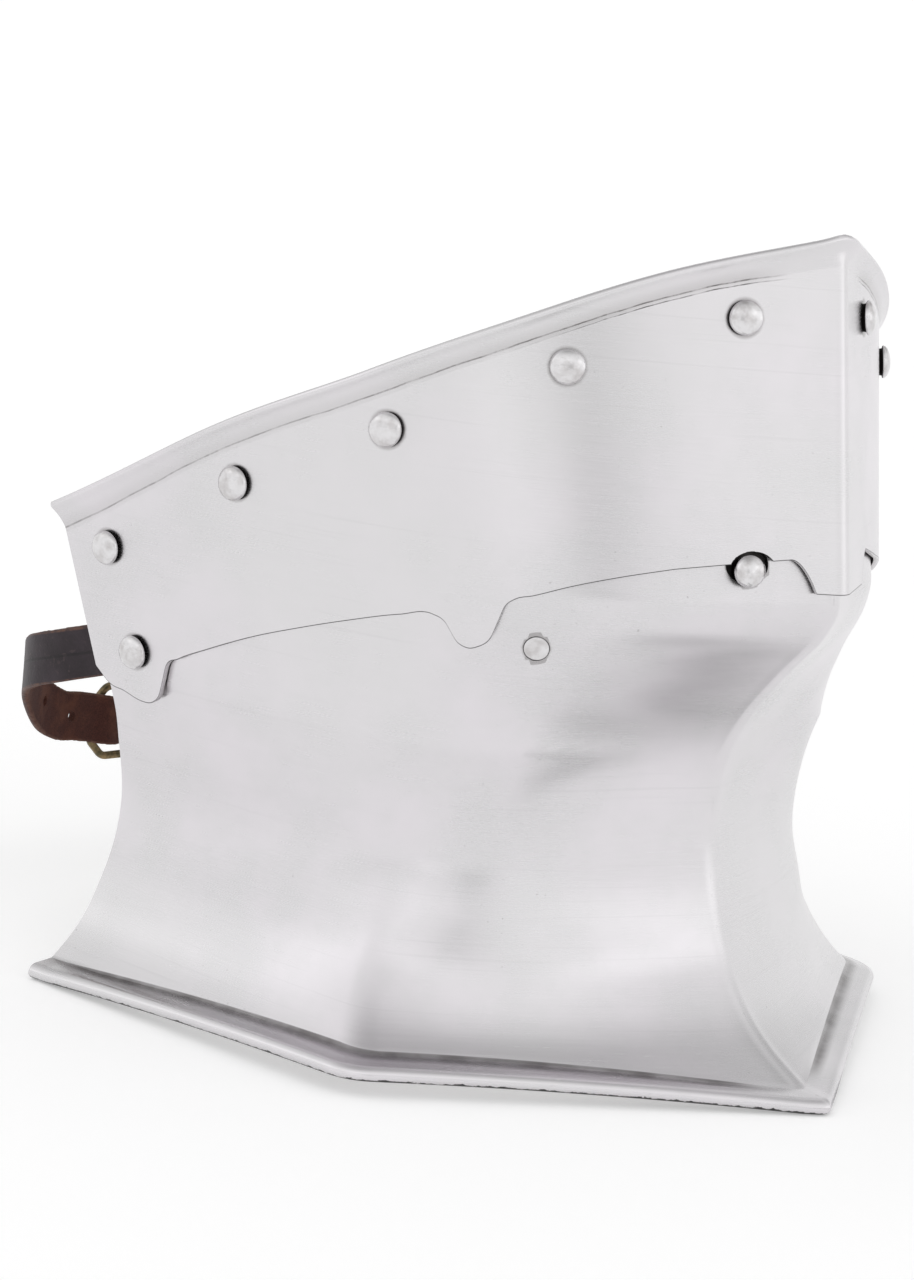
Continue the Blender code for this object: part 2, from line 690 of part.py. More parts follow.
def rivets_and_holes(neck, chin, look):
    """Rim rivets, pivot rivets, and the holes that they need."""
    hole = SHANK_RADIUS + SEAT
    chin_holes, neck_holes = [], []
    rim_rivet = rivet_profile(HEAD_RADIUS, HEAD_HEIGHT, STEEL, BURR_RADIUS, BURR_HEIGHT, SHANK_RADIUS)
    for side in (LEFT, RIGHT):
        for number, along in enumerate(RIM_RIVETS_ALONG, start=1):
            seat = rim_rivet_seat(along, side)
            place_turned(f"rim_rivet_{SIDE_NAMES[side]}_{number}", rim_rivet, seat, look)
            chin_holes.append((seat, hole, 2 * STEEL, 3 * STEEL))
        seat = pivot_seat(side)
        leather = seat.inverted() @ world(strap_route(side, 0.0)[1][:3])
        grip = LEATHER / 2 - leather.z
        profile = rivet_profile(HEAD_RADIUS, HEAD_HEIGHT, grip, BURR_RADIUS, BURR_HEIGHT, SHANK_RADIUS)
        place_turned(f"pivot_rivet_{SIDE_NAMES[side]}", profile, seat, look)
        chin_holes.append((seat, hole, STEEL, STEEL + SEAT / 2))
        neck_holes.append((seat, hole, STEEL, 4 * STEEL))
    stud = neck_seat(STUD_ALONG, STUD_HEIGHT, RIGHT)
    chin_holes.append((stud, STUD_RADIUS + STUD_ROOM, 6 * STEEL, 0.0))
    neck_holes.append((stud, STUD_RADIUS + STUD_ROOM, 2 * STEEL, 3 * STEEL))
    fixed = neck_seat(SPRING_ALONG, SPRING_HEIGHT, RIGHT)
    neck_holes.append((fixed, CATCH_RIVET_RADIUS + SEAT, 2 * STEEL, 3 * STEEL))
    cut(chin, cutter("chin_holes", chin_holes))
    cut(neck, cutter("neck_holes", neck_holes))


# Spring catch


def spring_catch(spring_look, steel_look):
    """Leaf spring inside the neck plate, the stud on its free end and the rivet that holds it."""
    steps = 12
    shares = np.linspace(-SPRING_TAIL, 1 + SPRING_TAIL, steps)
    along = SPRING_ALONG + (STUD_ALONG - SPRING_ALONG) * shares
    middle = SPRING_HEIGHT + (STUD_HEIGHT - SPRING_HEIGHT) * shares
    loops = []
    for t, height in zip(along, middle):
        heights = height + SPRING_WIDTH * np.array([-0.5, -0.17, 0.17, 0.5])
        near = [neck_facet(t, h, STEEL + SEAT) for h in heights]
        far = [neck_facet(t, h, STEEL + SEAT + SPRING_STEEL) for h in heights]
        loops.append([mirror(np.array(p), RIGHT) for p in near + far[::-1]])
    bm = bmesh.new()
    loft(bm, loops)
    spring = new_object("catch_spring", bm, spring_look)
    stud_seat = neck_seat(STUD_ALONG, STUD_HEIGHT, RIGHT)
    fixed_seat = neck_seat(SPRING_ALONG, SPRING_HEIGHT, RIGHT)
    hole = SHANK_RADIUS * 0.8 + SEAT
    reach = 4 * STEEL
    cut(spring, cutter("spring_holes", [(stud_seat, hole, 0.0, reach), (fixed_seat, hole, 0.0, reach)]))
    under = STEEL + SEAT
    shank = SHANK_RADIUS * 0.8
    stud = rivet_profile(
        STUD_RADIUS, 0.7 * STUD_RADIUS, SPRING_STEEL, 0.8 * BURR_RADIUS, BURR_HEIGHT, shank,
        straight=STUD_STANDS + under - 0.7 * STUD_RADIUS,
    )
    place_turned("catch_stud", stud, stud_seat @ Matrix.Translation((0, 0, -under)), steel_look, 16)
    flush = [(0.0, CATCH_RIVET_PROUD), (CATCH_RIVET_RADIUS, CATCH_RIVET_PROUD)]
    flush.append((CATCH_RIVET_RADIUS, -STEEL))
    below = -STEEL - SEAT - SPRING_STEEL - SEAT
    flush += [(shank, -STEEL), (shank, below), (0.8 * BURR_RADIUS, below), (0.0, below - BURR_HEIGHT)]
    place_turned("catch_rivet", flush, fixed_seat, steel_look, 14)


# Straps and buckle


def strap_route(side, layer):
    """Middle line of a strap from its pivot rivet to the back of the loop, and its upward direction.

    Rows are (out, back, height) and the direction. The layer is how far the leather lies behind the
    buckle's middle plane at the back of the loop.
    """
    rows = []
    inside = STEEL + 3 * SEAT + LEATHER / 2
    for along, sag in ((PIVOT_ALONG - 0.035, -0.03), (PIVOT_ALONG, 0.0), (0.977, 0.02), (0.993, 0.04)):
        middle = PIVOT_HEIGHT - sag * STRAP_SAG
        low, high = neck_skin(along, np.array([middle - STRAP_WIDTH / 2, middle + STRAP_WIDTH / 2]), inside)
        rows.append([*(low + high) / 2, *(high - low) / np.linalg.norm(high - low)])
    bends = [
        # out share, back past the rear edge as a share of the reach, sag share, lean
        (0.985, 0.055, 0.070, 0.17),
        (1.035, 0.25, 0.170, 0.12),
        (1.020, 0.44, 0.265, 0.05),
        (0.905, 0.67, 0.420, 0.0),
        (0.740, 0.87, 0.700, 0.0),
        (0.620, 0.955, 0.835, 0.0),
        (0.530, 0.985, 0.870, 0.0),
    ]
    for out, back, sag, lean in bends:
        place = [out * STRAP_OUT, DEPTH + back * STRAP_REACH, PIVOT_HEIGHT - sag * STRAP_SAG]
        rows.append([*place, lean, 0, 1])
    for out in (0.40, 0.28, 0.14, 0.0, -0.14, -0.28, -0.40):
        rows.append([out * STRAP_OUT, STRAP_BACK, loop_height(out * STRAP_OUT), 0, 0, 1])
    sides = np.array([side, 1, 1, side, 1, 1])
    return [np.array(row) * sides + np.array([0, layer * smooth_back(row[1]), 0, 0, 0, 0]) for row in rows]


def smooth_back(back):
    """1 at the back of the loop and 0 at the rear edge."""
    share = min(max((back - DEPTH) / STRAP_REACH, 0.0), 1.0)
    return share * share


def loop_height(out):
    """Height of the strap's middle near the back of the loop."""
    share = out / STRAP_OUT
    return PIVOT_HEIGHT - (1 - 0.48 * share**2) * STRAP_SAG


def curve_through(points, spacing):
    """Points at an even spacing on a smooth curve through the given ones."""
    given = np.array(points)
    ghost = np.vstack([2 * given[0] - given[1], given, 2 * given[-1] - given[-2]])
    fine = []
    for i in range(1, len(ghost) - 2):
        p0, p1, p2, p3 = ghost[i - 1 : i + 3]
        for u in np.linspace(0, 1, 24, endpoint=False):
            fine.append(
                0.5 * (2 * p1 + (p2 - p0) * u + (2 * p0 - 5 * p1 + 4 * p2 - p3) * u**2
                       + (3 * p1 - p0 - 3 * p2 + p3) * u**3)
            )
    fine.append(given[-1])
    fine = np.array(fine)
    run = np.concatenate([[0], np.cumsum(np.linalg.norm(np.diff(fine[:, :3], axis=0), axis=1))])
    count = max(int(round(run[-1] / spacing)), 2)
    want = np.linspace(0, run[-1], count + 1)
    return np.stack([np.interp(want, run, column) for column in fine.T], axis=1)


def band(name, path, look, taper=0):
    """A strap of leather along a path of places and upward directions. Its end can narrow to a tip."""
    ways = np.gradient(path[:, :3], axis=0)
    loops = []
    for i, (row, way) in enumerate(zip(path, ways)):
        point, up = row[:3], row[3:]
        way = way / np.linalg.norm(way)
        up = up - way * (up @ way)
        up /= np.linalg.norm(up)
        thick = np.cross(way, up)
        left = len(path) - 1 - i
        width = STRAP_WIDTH / 2
        if left < taper:
            width *= math.sin(math.pi / 2 * (left + 0.8) / (taper + 0.8))
        half = LEATHER / 2
        corners = ((width, half), (-width, half), (-width, -half), (width, -half))
        loops.append([point + up * a + thick * b for a, b in corners])
    bm = bmesh.new()
    loft(bm, loops)
    bmesh.ops.triangulate(bm, faces=bm.faces)
    return new_object(name, bm, look)


def buckle_points():
    """Places along the back of the loop that the buckle sets."""
    tip = BUCKLE_OUT - BUCKLE_LENGTH / 2 + BUCKLE_BAR / 2
    heel = BUCKLE_OUT + BUCKLE_LENGTH / 2 - BUCKLE_BAR / 2
    fold = math.hypot(BUCKLE_BAR, BUCKLE_THICKNESS) / 2 + SEAT + LEATHER / 2
    return tip, heel, fold


def loop_point(out, layer):
    """A point of the leather at the back of the loop, with its upward direction."""
    return np.array([out, STRAP_BACK + layer, loop_height(out), 0, 0, 1])


def hole_strap_path():
    """From the right pivot under the buckle's tip bar, over the fold and along the buckle strap."""
    tip, heel, fold = buckle_points()
    opening = heel - tip
    lift = fold + LEATHER + 2 * SEAT  # outside the fold
    rest = (LEATHER + SEAT) / 2  # half the distance between two layers that touch
    under = BUCKLE_THICKNESS / 2 + SEAT + LEATHER / 2
    path = [p for p in strap_route(RIGHT, -under) if p[0] < tip - 0.28 * opening]
    crossing = [
        # place as a share of the buckle's opening, from its tip bar, and layer
        (-0.093, -under),
        (0.294, -under),
        (0.640, 0.27 * lift),
        (0.836, 0.90 * lift),
        (1.047, lift),
        (1.467, lift),
        (2.028, 3 * rest),
        (2.589, 3 * rest),
        (3.103, 2.4 * rest),
    ]
    path += [loop_point(tip + share * opening, layer) for share, layer in crossing]
    path += [loop_point(TAIL_END - TAIL_POINT, rest + SEAT), loop_point(TAIL_END, rest + SEAT)]
    return curve_through(path, STRAP_STEP)


def buckle_strap_path():
    """From the left pivot to the buckle's heel bar, round it and back."""
    _, heel, fold = buckle_points()
    rest = (LEATHER + SEAT) / 2
    outer = [p for p in strap_route(LEFT, -rest) if p[0] > heel + FOLD_MEET + LEATHER]
    outer += [loop_point(heel + FOLD_MEET, -rest), loop_point(heel + FOLD_TURN, -0.8 * fold)]
    outer.append(loop_point(heel, -fold))
    turn = []
    for degrees in range(36, 180, 36):
        angle = math.radians(degrees)
        turn.append(loop_point(heel - fold * math.sin(angle), -fold * math.cos(angle)))
    back = [loop_point(heel, fold), loop_point(heel + FOLD_TURN, 0.8 * fold)]
    back += [loop_point(heel + FOLD_MEET, rest), loop_point(heel + FOLD_END, rest)]
    return np.vstack([curve_through(outer, STRAP_STEP), turn, curve_through(back, FOLD_STEP)])


def straps(look):
    """The hole strap from the right and the buckle strap from the left, up to the buckle."""
    hole_strap = band("hole_strap", hole_strap_path(), look, taper=3)
    buckle_strap = band("buckle_strap", buckle_strap_path(), look)
    return hole_strap, buckle_strap


def strap_holes(hole_strap, buckle_strap):
    """Punched holes, the rivets' holes, and the slot in the fold for the tongue."""
    tip, heel, fold = buckle_points()
    pivot = SHANK_RADIUS + 2 * SEAT
    holes = [(pivot_seat(RIGHT), pivot, 0.0, 6 * STEEL)]
    route = curve_through(strap_route(RIGHT, 0.0), STRAP_STEP / 12)[:, :3]
    route = route[: int(np.argmax(route[:, 0] > tip))]
    ways = np.gradient(route, axis=0)
    run = np.concatenate([[0], np.cumsum(np.linalg.norm(np.diff(route, axis=0), axis=1))])
    for number in (0, 1, 2):
        index = int(np.searchsorted(run, run[-1] - FIRST_HOLE - number * HOLE_PITCH))
        way = ways[index] / np.linalg.norm(ways[index])
        normal = np.cross(way, (0, 0, 1))
        holes.append((facing(route[index], normal), STRAP_HOLE, 3 * LEATHER, 3 * LEATHER))
    for number in (0, 1, 2):
        out = heel + TAIL_HOLE + number * HOLE_PITCH
        place = (out, STRAP_BACK + fold + 1.5 * LEATHER, loop_height(out))
        holes.append((facing(place, (0, 1, 0)), STRAP_HOLE, 2 * LEATHER, 1.9 * LEATHER))
    cut(hole_strap, cutter("hole_strap_holes", holes))
    slot_height = 2 * (TONGUE_RADIUS + TONGUE_ROOM)
    crossing = tip + 0.65 * (heel - tip)
    size = (TONGUE_SLOT, 4 * fold, slot_height)
    cut(hole_strap, slot_cutter("tongue_slot", (crossing, STRAP_BACK, loop_height(crossing)), size))
    size = (2.8 * fold, 4 * fold, slot_height)
    cut(buckle_strap, slot_cutter("fold_slot", (heel, STRAP_BACK, loop_height(heel)), size))
    cut(buckle_strap, cutter("buckle_strap_hole", [(pivot_seat(LEFT), pivot, 0.0, 6 * STEEL)]))


def buckle(look):
    """Flat frame with two cut corners at its tip, and the tongue that turns on its heel bar."""
    tip, heel, fold = buckle_points()
    half_length, half_height = BUCKLE_LENGTH / 2, BUCKLE_HEIGHT / 2
    corner = 0.24 * BUCKLE_HEIGHT

    def outline(inset):
        far, near = -half_length + inset, half_length - inset
        high = half_height - inset
        cut_back = corner - 0.5 * inset
        heel_side = [(near, -high), (near, high)]
        tip_side = [(far, high - cut_back), (far, -high + cut_back)]
        return [*heel_side, (far + cut_back, high), *tip_side, (far + cut_back, -high)]

    bm = bmesh.new()
    rings = []
    for inset in (0.0, BUCKLE_BAR):
        for layer in (-BUCKLE_THICKNESS / 2, BUCKLE_THICKNESS / 2):
            ring = []
            for out, height in outline(inset):
                place = (BUCKLE_OUT + out, STRAP_BACK + layer, loop_height(BUCKLE_OUT) + height)
                ring.append(bm.verts.new(world(place)))
            rings.append(ring)
    outer_in, outer_out, inner_in, inner_out = rings
    round_the_bar = [outer_in, outer_out, inner_out, inner_in, outer_in]
    for first, second in zip(round_the_bar, round_the_bar[1:]):
        for i in range(len(first)):
            j = (i + 1) % len(first)
            bm.faces.new((first[i], first[j], second[j], second[i]))
    new_object("buckle_frame", bm, look)

    turn_radius = math.hypot(BUCKLE_BAR, BUCKLE_THICKNESS) / 2 + SEAT + TONGUE_RADIUS
    level = loop_height(heel)
    path = []
    for degrees in range(-120, 100, 30):
        angle = math.radians(degrees)
        out = heel + turn_radius * math.cos(angle)
        path.append((out, STRAP_BACK + turn_radius * math.sin(angle), level))
    rest = BUCKLE_THICKNESS / 2 + SEAT + TONGUE_RADIUS
    path.append((tip - 0.6 * BUCKLE_BAR, STRAP_BACK + rest, loop_height(tip)))
    points = [np.array(p) for p in path]
    ways = np.gradient(np.array(points), axis=0)
    loops = []
    for point, way in zip(points, ways):
        way = way / np.linalg.norm(way)
        side = np.cross(way, (0.0, 0.0, 1.0))
        side /= np.linalg.norm(side)
        up = np.cross(side, way)
        ring = []
        for degrees in range(0, 360, 60):
            angle = math.radians(degrees)
            ring.append(point + TONGUE_RADIUS * (side * math.cos(angle) + up * math.sin(angle)))
        loops.append(ring)
    bm = bmesh.new()
    loft(bm, loops)
    new_object("buckle_tongue", bm, look)


def main():
    for thing in list(bpy.data.objects):
        bpy.data.objects.remove(thing, do_unlink=True)
    plate_look = material("brushed_steel", (0.70, 0.69, 0.70), 0.28, 1.0)
    rivet_look = material("rivet_steel", (0.74, 0.73, 0.74), 0.22, 1.0)
    spring_look = material("spring_steel", (0.42, 0.42, 0.44), 0.35, 1.0)
    leather_look = material("leather", (0.045, 0.030, 0.032), 0.55, 0.0)
    brass_look = material("buckle_brass", (0.30, 0.22, 0.13), 0.40, 1.0)
    neck = neck_plate(plate_look)
    chin = chin_plate(plate_look)
    rivets_and_holes(neck, chin, rivet_look)
    spring_catch(spring_look, rivet_look)
    hole_strap, buckle_strap = straps(leather_look)
    strap_holes(hole_strap, buckle_strap)
    buckle(brass_look)


main()
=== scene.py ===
"""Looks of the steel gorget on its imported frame: brushed plates, rivets, spring catch, strap and buckle."""

import math

import bmesh
import bpy
import numpy as np
from mathutils import Matrix, Vector

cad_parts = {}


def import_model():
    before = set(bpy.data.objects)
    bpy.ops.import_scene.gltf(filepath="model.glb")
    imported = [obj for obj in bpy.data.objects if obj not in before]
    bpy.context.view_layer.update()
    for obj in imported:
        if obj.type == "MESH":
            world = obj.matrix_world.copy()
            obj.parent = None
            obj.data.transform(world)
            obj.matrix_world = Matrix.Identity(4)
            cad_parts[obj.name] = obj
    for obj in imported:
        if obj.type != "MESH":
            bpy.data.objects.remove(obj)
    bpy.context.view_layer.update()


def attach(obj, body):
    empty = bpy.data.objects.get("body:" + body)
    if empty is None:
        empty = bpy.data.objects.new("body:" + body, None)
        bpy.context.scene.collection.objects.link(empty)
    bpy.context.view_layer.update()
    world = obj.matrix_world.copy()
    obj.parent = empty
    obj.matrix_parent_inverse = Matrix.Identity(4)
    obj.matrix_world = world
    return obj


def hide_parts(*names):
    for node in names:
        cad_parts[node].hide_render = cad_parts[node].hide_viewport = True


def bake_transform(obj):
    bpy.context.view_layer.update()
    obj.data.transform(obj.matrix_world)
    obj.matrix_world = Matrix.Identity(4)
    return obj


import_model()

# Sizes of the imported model, in metres. The origin is on the floor under the middle of its box.
STEEL = 0.0016
SEAT = 0.0003
CROWN = 0.2404
DEPTH = 0.2065
HALF_WIDTH = 0.1124
CHIN_START = 0.0950
NECK_RISE_FRONT = 0.1740
NECK_RISE_REAR = 0.1160
KEEL_GAP = 0.0012
PIVOT_ALONG = 0.960
PIVOT_HEIGHT = 0.1032
ROOM_BEHIND = 0.13
ROOM_BELOW = 0.045
ROOM_START = 0.0060
ROOM_FADE = (0.0600, 0.0850)
FOOT_CORNER_OUT = 0.1175
FOOT_CORNER_BACK = 0.0795
FOOT_REAR_OUT = 0.1275
FOOT_REAR_BACK = 0.2080
FOOT_CORNER_ALONG = 0.52
FOOT_CORNER_ROUND = 0.03
BORDER_WIDTH = 0.0095
FOOT_ARCH = 0.0045
FOOT_FLAT = 0.0004
CREASE_HEIGHT = 0.0068
CREASE_EXTRA = 0.0015
BEAD_REACH = 0.0034
BEAD_TOP = 0.0049
BEAD_MIDDLE = 0.0023
FLARE_HEIGHT = 0.22
RIM_HEIGHT = 0.0060
RIM_FLARE = 0.0025
RIM_ROLL = 0.0005
RIM_END_SHARE = 1.22
RIM_END_REACH = 0.15
RIM_RIVET_DROP = 0.0100
RIM_RIVETS_ALONG = [0.119, 0.367, 0.630, 0.822, 0.964]
HEAD_RADIUS = 0.0050
HEAD_HEIGHT = 0.0036
SHANK_RADIUS = 0.0022
BURR_RADIUS = 0.0037
BURR_HEIGHT = 0.0012
STUD_RADIUS = 0.0046
STUD_STANDS = 0.0062
STUD_HEIGHT = 0.1543
STUD_ALONG = 0.120
SPRING_HEIGHT = 0.1268
SPRING_ALONG = 0.433
SPRING_WIDTH = 0.0130
SPRING_STEEL = 0.0010
SPRING_TAIL = 0.09
SPRING_TIP = 0.14
LEAF_BEND = 0.80
CATCH_RIVET_RADIUS = 0.0036
STRAP_WIDTH = 0.0160
LEATHER = 0.0025
STRAP_REACH = 0.0765
STRAP_SAG = 0.0500
STRAP_OUT = 0.1075
STRAP_HOLE = 0.0017
HOLE_PITCH = 0.0215
BUCKLE_OUT = -0.0370
BUCKLE_LENGTH = 0.0240
BUCKLE_HEIGHT = 0.0260
BUCKLE_BAR = 0.0026
BUCKLE_THICKNESS = 0.0020
TONGUE_RADIUS = 0.0011
TAIL_END = 0.0460

# Keel of the neck plate: height, back, angle, pull, as shares of CROWN, DEPTH, degrees and HALF_WIDTH
KEEL_ROWS = [
    (0.0200, 0.046, 34.0, 0.74),
    (0.0625, 0.133, 28.0, 0.86),
    (0.1250, 0.201, 21.0, 0.90),
    (0.1875, 0.235, 17.0, 0.90),
    (0.2500, 0.256, 16.5, 0.82),
    (0.3125, 0.265, 17.5, 0.74),
    (0.3750, 0.258, 19.5, 0.71),
    (0.4375, 0.225, 21.5, 0.70),
    (0.5000, 0.168, 24.0, 0.71),
    (0.5625, 0.1050, 27.0, 0.74),
    (0.5940, 0.0885, 28.6, 0.76),
    (0.6250, 0.0903, 30.0, 0.775),
]
# Rear edge of the neck plate: height, out, splay, pull
REAR_ROWS = [
    (0.0200, 1.064, 4.5, 0.90),
    (0.0625, 0.985, 4.0, 0.92),
    (0.1250, 0.925, 2.5, 0.96),
    (0.1875, 0.893, 1.5, 1.02),
    (0.2500, 0.895, 2.0, 1.10),
    (0.3125, 0.940, 4.0, 1.22),
    (0.3952, 1.000, 7.0, 1.40),
]
CHIN_KEEL = {"back": 0.0397, "lean": 0.167, "angle": 30.0}
CHIN_PULL = {"keel_low": 0.747, "keel_high": 0.820, "side_low": 1.397, "side_high": 1.500}
CHIN_REAR = {"out_lean": 0.139, "back_lean": 0.3276, "splay": 7.0}
# Lower edge of the chin plate behind its front tab: along, height
EDGE_ROWS = [
    (0.228, 0.639), (0.312, 0.625), (0.391, 0.609), (0.450, 0.594), (0.480, 0.587), (0.496, 0.577),
    (0.508, 0.560), (0.524, 0.538), (0.543, 0.527), (0.563, 0.524), (0.575, 0.530), (0.587, 0.549),
    (0.603, 0.556), (0.649, 0.549), (0.715, 0.531), (0.778, 0.509), (0.838, 0.483), (0.889, 0.454),
    (0.919, 0.434), (0.933, 0.421), (0.940, 0.400), (0.947, 0.380), (0.954, 0.371), (0.965, 0.369),
    (0.979, 0.376), (0.992, 0.382), (1.000, 0.398),
]
CREASE_ROWS = [
    (0.000, 1.0000), (0.022, 0.9942), (0.139, 0.9692), (0.393, 0.8927),
    (0.631, 0.8032), (0.850, 0.6889), (1.000, 0.5628),
]
EDGE_FRONT_HEIGHT = 0.658
TAB_HEIGHT = 0.620
TAB_STEP = 0.030
TAB_ALONG = {-1: 0.037, 1: 0.100}

KEEL_ROUND = 0.0034
RIM_ROUND = 0.0095
COLLAR = 0.0014

LEFT, RIGHT = 1, -1
SIDE_NAMES = {LEFT: "left", RIGHT: "right"}
STRAP_BACK = DEPTH + STRAP_REACH
CENTRE_BACK = (STRAP_BACK + 3.0 * LEATHER) / 2.0
STEP = 1e-5


# Camera: the photograph's place, relative to the tip of the foot

EYE_LENS = 106.875
EYE_SENSOR = 36.0
EYE_RANGE = (0.05, 60.0)
EYE_PLACE = (-0.8344, -0.6408, 0.3270)
EYE_RIGHT = (0.7064, -0.7003, 0.1034)
EYE_FORWARD = (0.7052, 0.6836, -0.1879)


def camera():
    lens = bpy.data.cameras.new("camera")
    lens.lens = EYE_LENS
    lens.sensor_width = EYE_SENSOR
    lens.clip_start, lens.clip_end = EYE_RANGE
    right = Vector(EYE_RIGHT).normalized()
    forward = Vector(EYE_FORWARD)
    forward = (forward - right * forward.dot(right)).normalized()
    turn = Matrix((right, right.cross(forward), -forward)).transposed().to_4x4()
    eye = new_object("camera", lens)
    eye.matrix_world = Matrix.Translation(world(EYE_PLACE)) @ turn
    bpy.context.scene.camera = eye


# Surfaces, as in the solids

def world(point):
    return Vector((point[0], point[1] - CENTRE_BACK, point[2]))


def smooth_rows(rows, unit_sizes, height):
    table = np.array(rows) * np.array(unit_sizes)
    levels = table[:, 0]
    clipped = np.clip(height, levels[0], levels[-1])
    low = np.clip(np.searchsorted(levels, clipped) - 1, 0, len(levels) - 2)
    span = levels[low + 1] - levels[low]
    u = (clipped - levels[low]) / span
    found = []
    for column in table[:, 1:].T:
        slope = np.gradient(column, levels)
        found.append(
            (1 + 2 * u) * (1 - u) ** 2 * column[low]
            + u * (1 - u) ** 2 * span * slope[low]
            + u * u * (3 - 2 * u) * column[low + 1]
            + u * u * (u - 1) * span * slope[low + 1]
        )
    return found


def section(along, keel_back, keel_angle, keel_pull, rear_out, rear_back, splay, side_pull):
    angle, spread = np.radians(keel_angle), np.radians(splay)
    out = (
        3 * (1 - along) ** 2 * along * keel_pull * np.cos(angle)
        + 3 * (1 - along) * along**2 * (rear_out - side_pull * np.sin(spread))
        + along**3 * rear_out
    )
    back = (
        (1 - along) ** 3 * keel_back
        + 3 * (1 - along) ** 2 * along * (keel_back + keel_pull * np.sin(angle))
        + 3 * (1 - along) * along**2 * (rear_back - side_pull * np.cos(spread))
        + along**3 * rear_back
    )
    return out, back


def chin_numbers(height):
    rise = height - CHIN_START
    share = rise / (CROWN - CHIN_START)
    keel_back = CHIN_KEEL["back"] * DEPTH + CHIN_KEEL["lean"] * rise
    keel_pull = (CHIN_PULL["keel_low"] * (1 - share) + CHIN_PULL["keel_high"] * share) * HALF_WIDTH
    side_pull = (CHIN_PULL["side_low"] * (1 - share) + CHIN_PULL["side_high"] * share) * HALF_WIDTH
    rear_out = HALF_WIDTH + CHIN_REAR["out_lean"] * rise
    rear_back = DEPTH + CHIN_REAR["back_lean"] * rise
    return keel_back, CHIN_KEEL["angle"], keel_pull, rear_out, rear_back, CHIN_REAR["splay"], side_pull


def eased(value, low, high):
    share = np.clip((value - low) / (high - low), 0.0, 1.0)
    return share * share * (3 - 2 * share)


def chin_face(along, height):
    out, back = section(along, *chin_numbers(height))
    return np.stack([out, back, height + 0 * out], axis=-1)


PIVOT_BACK = float(chin_face(np.array(PIVOT_ALONG), np.array(PIVOT_HEIGHT))[1])


def pivot_room(back, height):
    behind = np.maximum(back - PIVOT_BACK, 0.0)
    below = np.maximum(PIVOT_HEIGHT - height, 0.0)
    room = ROOM_BEHIND * behind**2 / (behind + ROOM_START)
    room = room + ROOM_BELOW * below * eased(back, PIVOT_BACK - 3 * ROOM_START, PIVOT_BACK)
    return room * eased(height, *ROOM_FADE)


def foot_share(along):
    front = along / FOOT_CORNER_ALONG
    rear = (along - FOOT_CORNER_ALONG) / (1 - FOOT_CORNER_ALONG)
    return np.where(along < FOOT_CORNER_ALONG, 2 * front - front**2, 1 - rear**2)


def rim_height(along):
    return np.maximum(0.0, FOOT_ARCH * foot_share(along) - FOOT_FLAT)


def crease_height(along):
    return rim_height(along) + CREASE_HEIGHT + CREASE_EXTRA * foot_share(along)


def foot_line(along, inset):
    tip = np.zeros(2)
    corner = np.array([FOOT_CORNER_OUT, FOOT_CORNER_BACK])
    rear = np.array([FOOT_REAR_OUT, FOOT_REAR_BACK])
    front_way = (corner - tip) / np.linalg.norm(corner - tip)
    side_way = (rear - corner) / np.linalg.norm(rear - corner)
    front_in = np.array([-front_way[1], front_way[0]])
    side_in = np.array([-side_way[1], side_way[0]])
    tip = np.array([0.0, inset / front_in[1]])
    mitre = (front_in + side_in) / (1 + front_in @ side_in)
    corner = corner + mitre * inset
    rear = rear + side_in * inset
    half = FOOT_CORNER_ROUND
    start = tip + (corner - tip) * (1 - half / FOOT_CORNER_ALONG)
    end = corner + (rear - corner) * half / (1 - FOOT_CORNER_ALONG)
    front = np.clip(along / FOOT_CORNER_ALONG, 0, 1)[..., None]
    side = np.clip((along - FOOT_CORNER_ALONG) / (1 - FOOT_CORNER_ALONG), 0, 1)[..., None]
    turn = np.clip((along - FOOT_CORNER_ALONG + half) / (2 * half), 0, 1)[..., None]
    straight = np.where(
        along[..., None] < FOOT_CORNER_ALONG, tip + (corner - tip) * front, corner + (rear - corner) * side
    )
    bend = (1 - turn) ** 2 * start + 2 * (1 - turn) * turn * corner + turn**2 * end
    return np.where(abs(along[..., None] - FOOT_CORNER_ALONG) < half, bend, straight)


def neck_numbers(height):
    chin = chin_numbers(height)
    keel_back, keel_angle, keel_pull = smooth_rows(KEEL_ROWS, (CROWN, DEPTH, 1.0, HALF_WIDTH), height)
    rear_out, splay, side_pull = smooth_rows(REAR_ROWS, (CROWN, HALF_WIDTH, 1.0, HALF_WIDTH), height)
    above_keel = height > KEEL_ROWS[-1][0] * CROWN
    above_rear = height > REAR_ROWS[-1][0] * CROWN
    return (
        np.where(above_keel, chin[0] + KEEL_GAP, keel_back),
        np.where(above_keel, chin[1], keel_angle),
        np.where(above_keel, chin[2], keel_pull),
        np.where(above_rear, chin[3], rear_out),
        np.where(above_rear, chin[4], DEPTH),
        np.where(above_rear, chin[5], splay),
        np.where(above_rear, chin[6], side_pull),
    )


def neck_guide(along, height):
    out, back = section(along, *neck_numbers(height))
    level = crease_height(along)
    foot_out, foot_back = section(along, *neck_numbers(level))
    target = foot_line(along, BORDER_WIDTH - STEEL)
    fade = np.clip(1 - (height - level) / (FLARE_HEIGHT * CROWN), 0, 1) ** 2
    out = out + (target[..., 0] - foot_out) * fade
    back = back + (target[..., 1] - foot_back) * fade
    return np.stack([out - pivot_room(back, height), back, height + 0 * out], axis=-1)


def outward(face, along, height):
    low, high = np.maximum(along - STEP, 0.0), np.minimum(along + STEP, 1.0)
    across = face(high, height) - face(low, height)
    up = face(along, height + STEP) - face(along, height - STEP)
    normal = np.cross(across, up)
    normal /= np.linalg.norm(normal, axis=-1, keepdims=True)
    facing = normal[..., 0:1] - normal[..., 1:2]
    return np.where(facing < 0, -normal, normal)


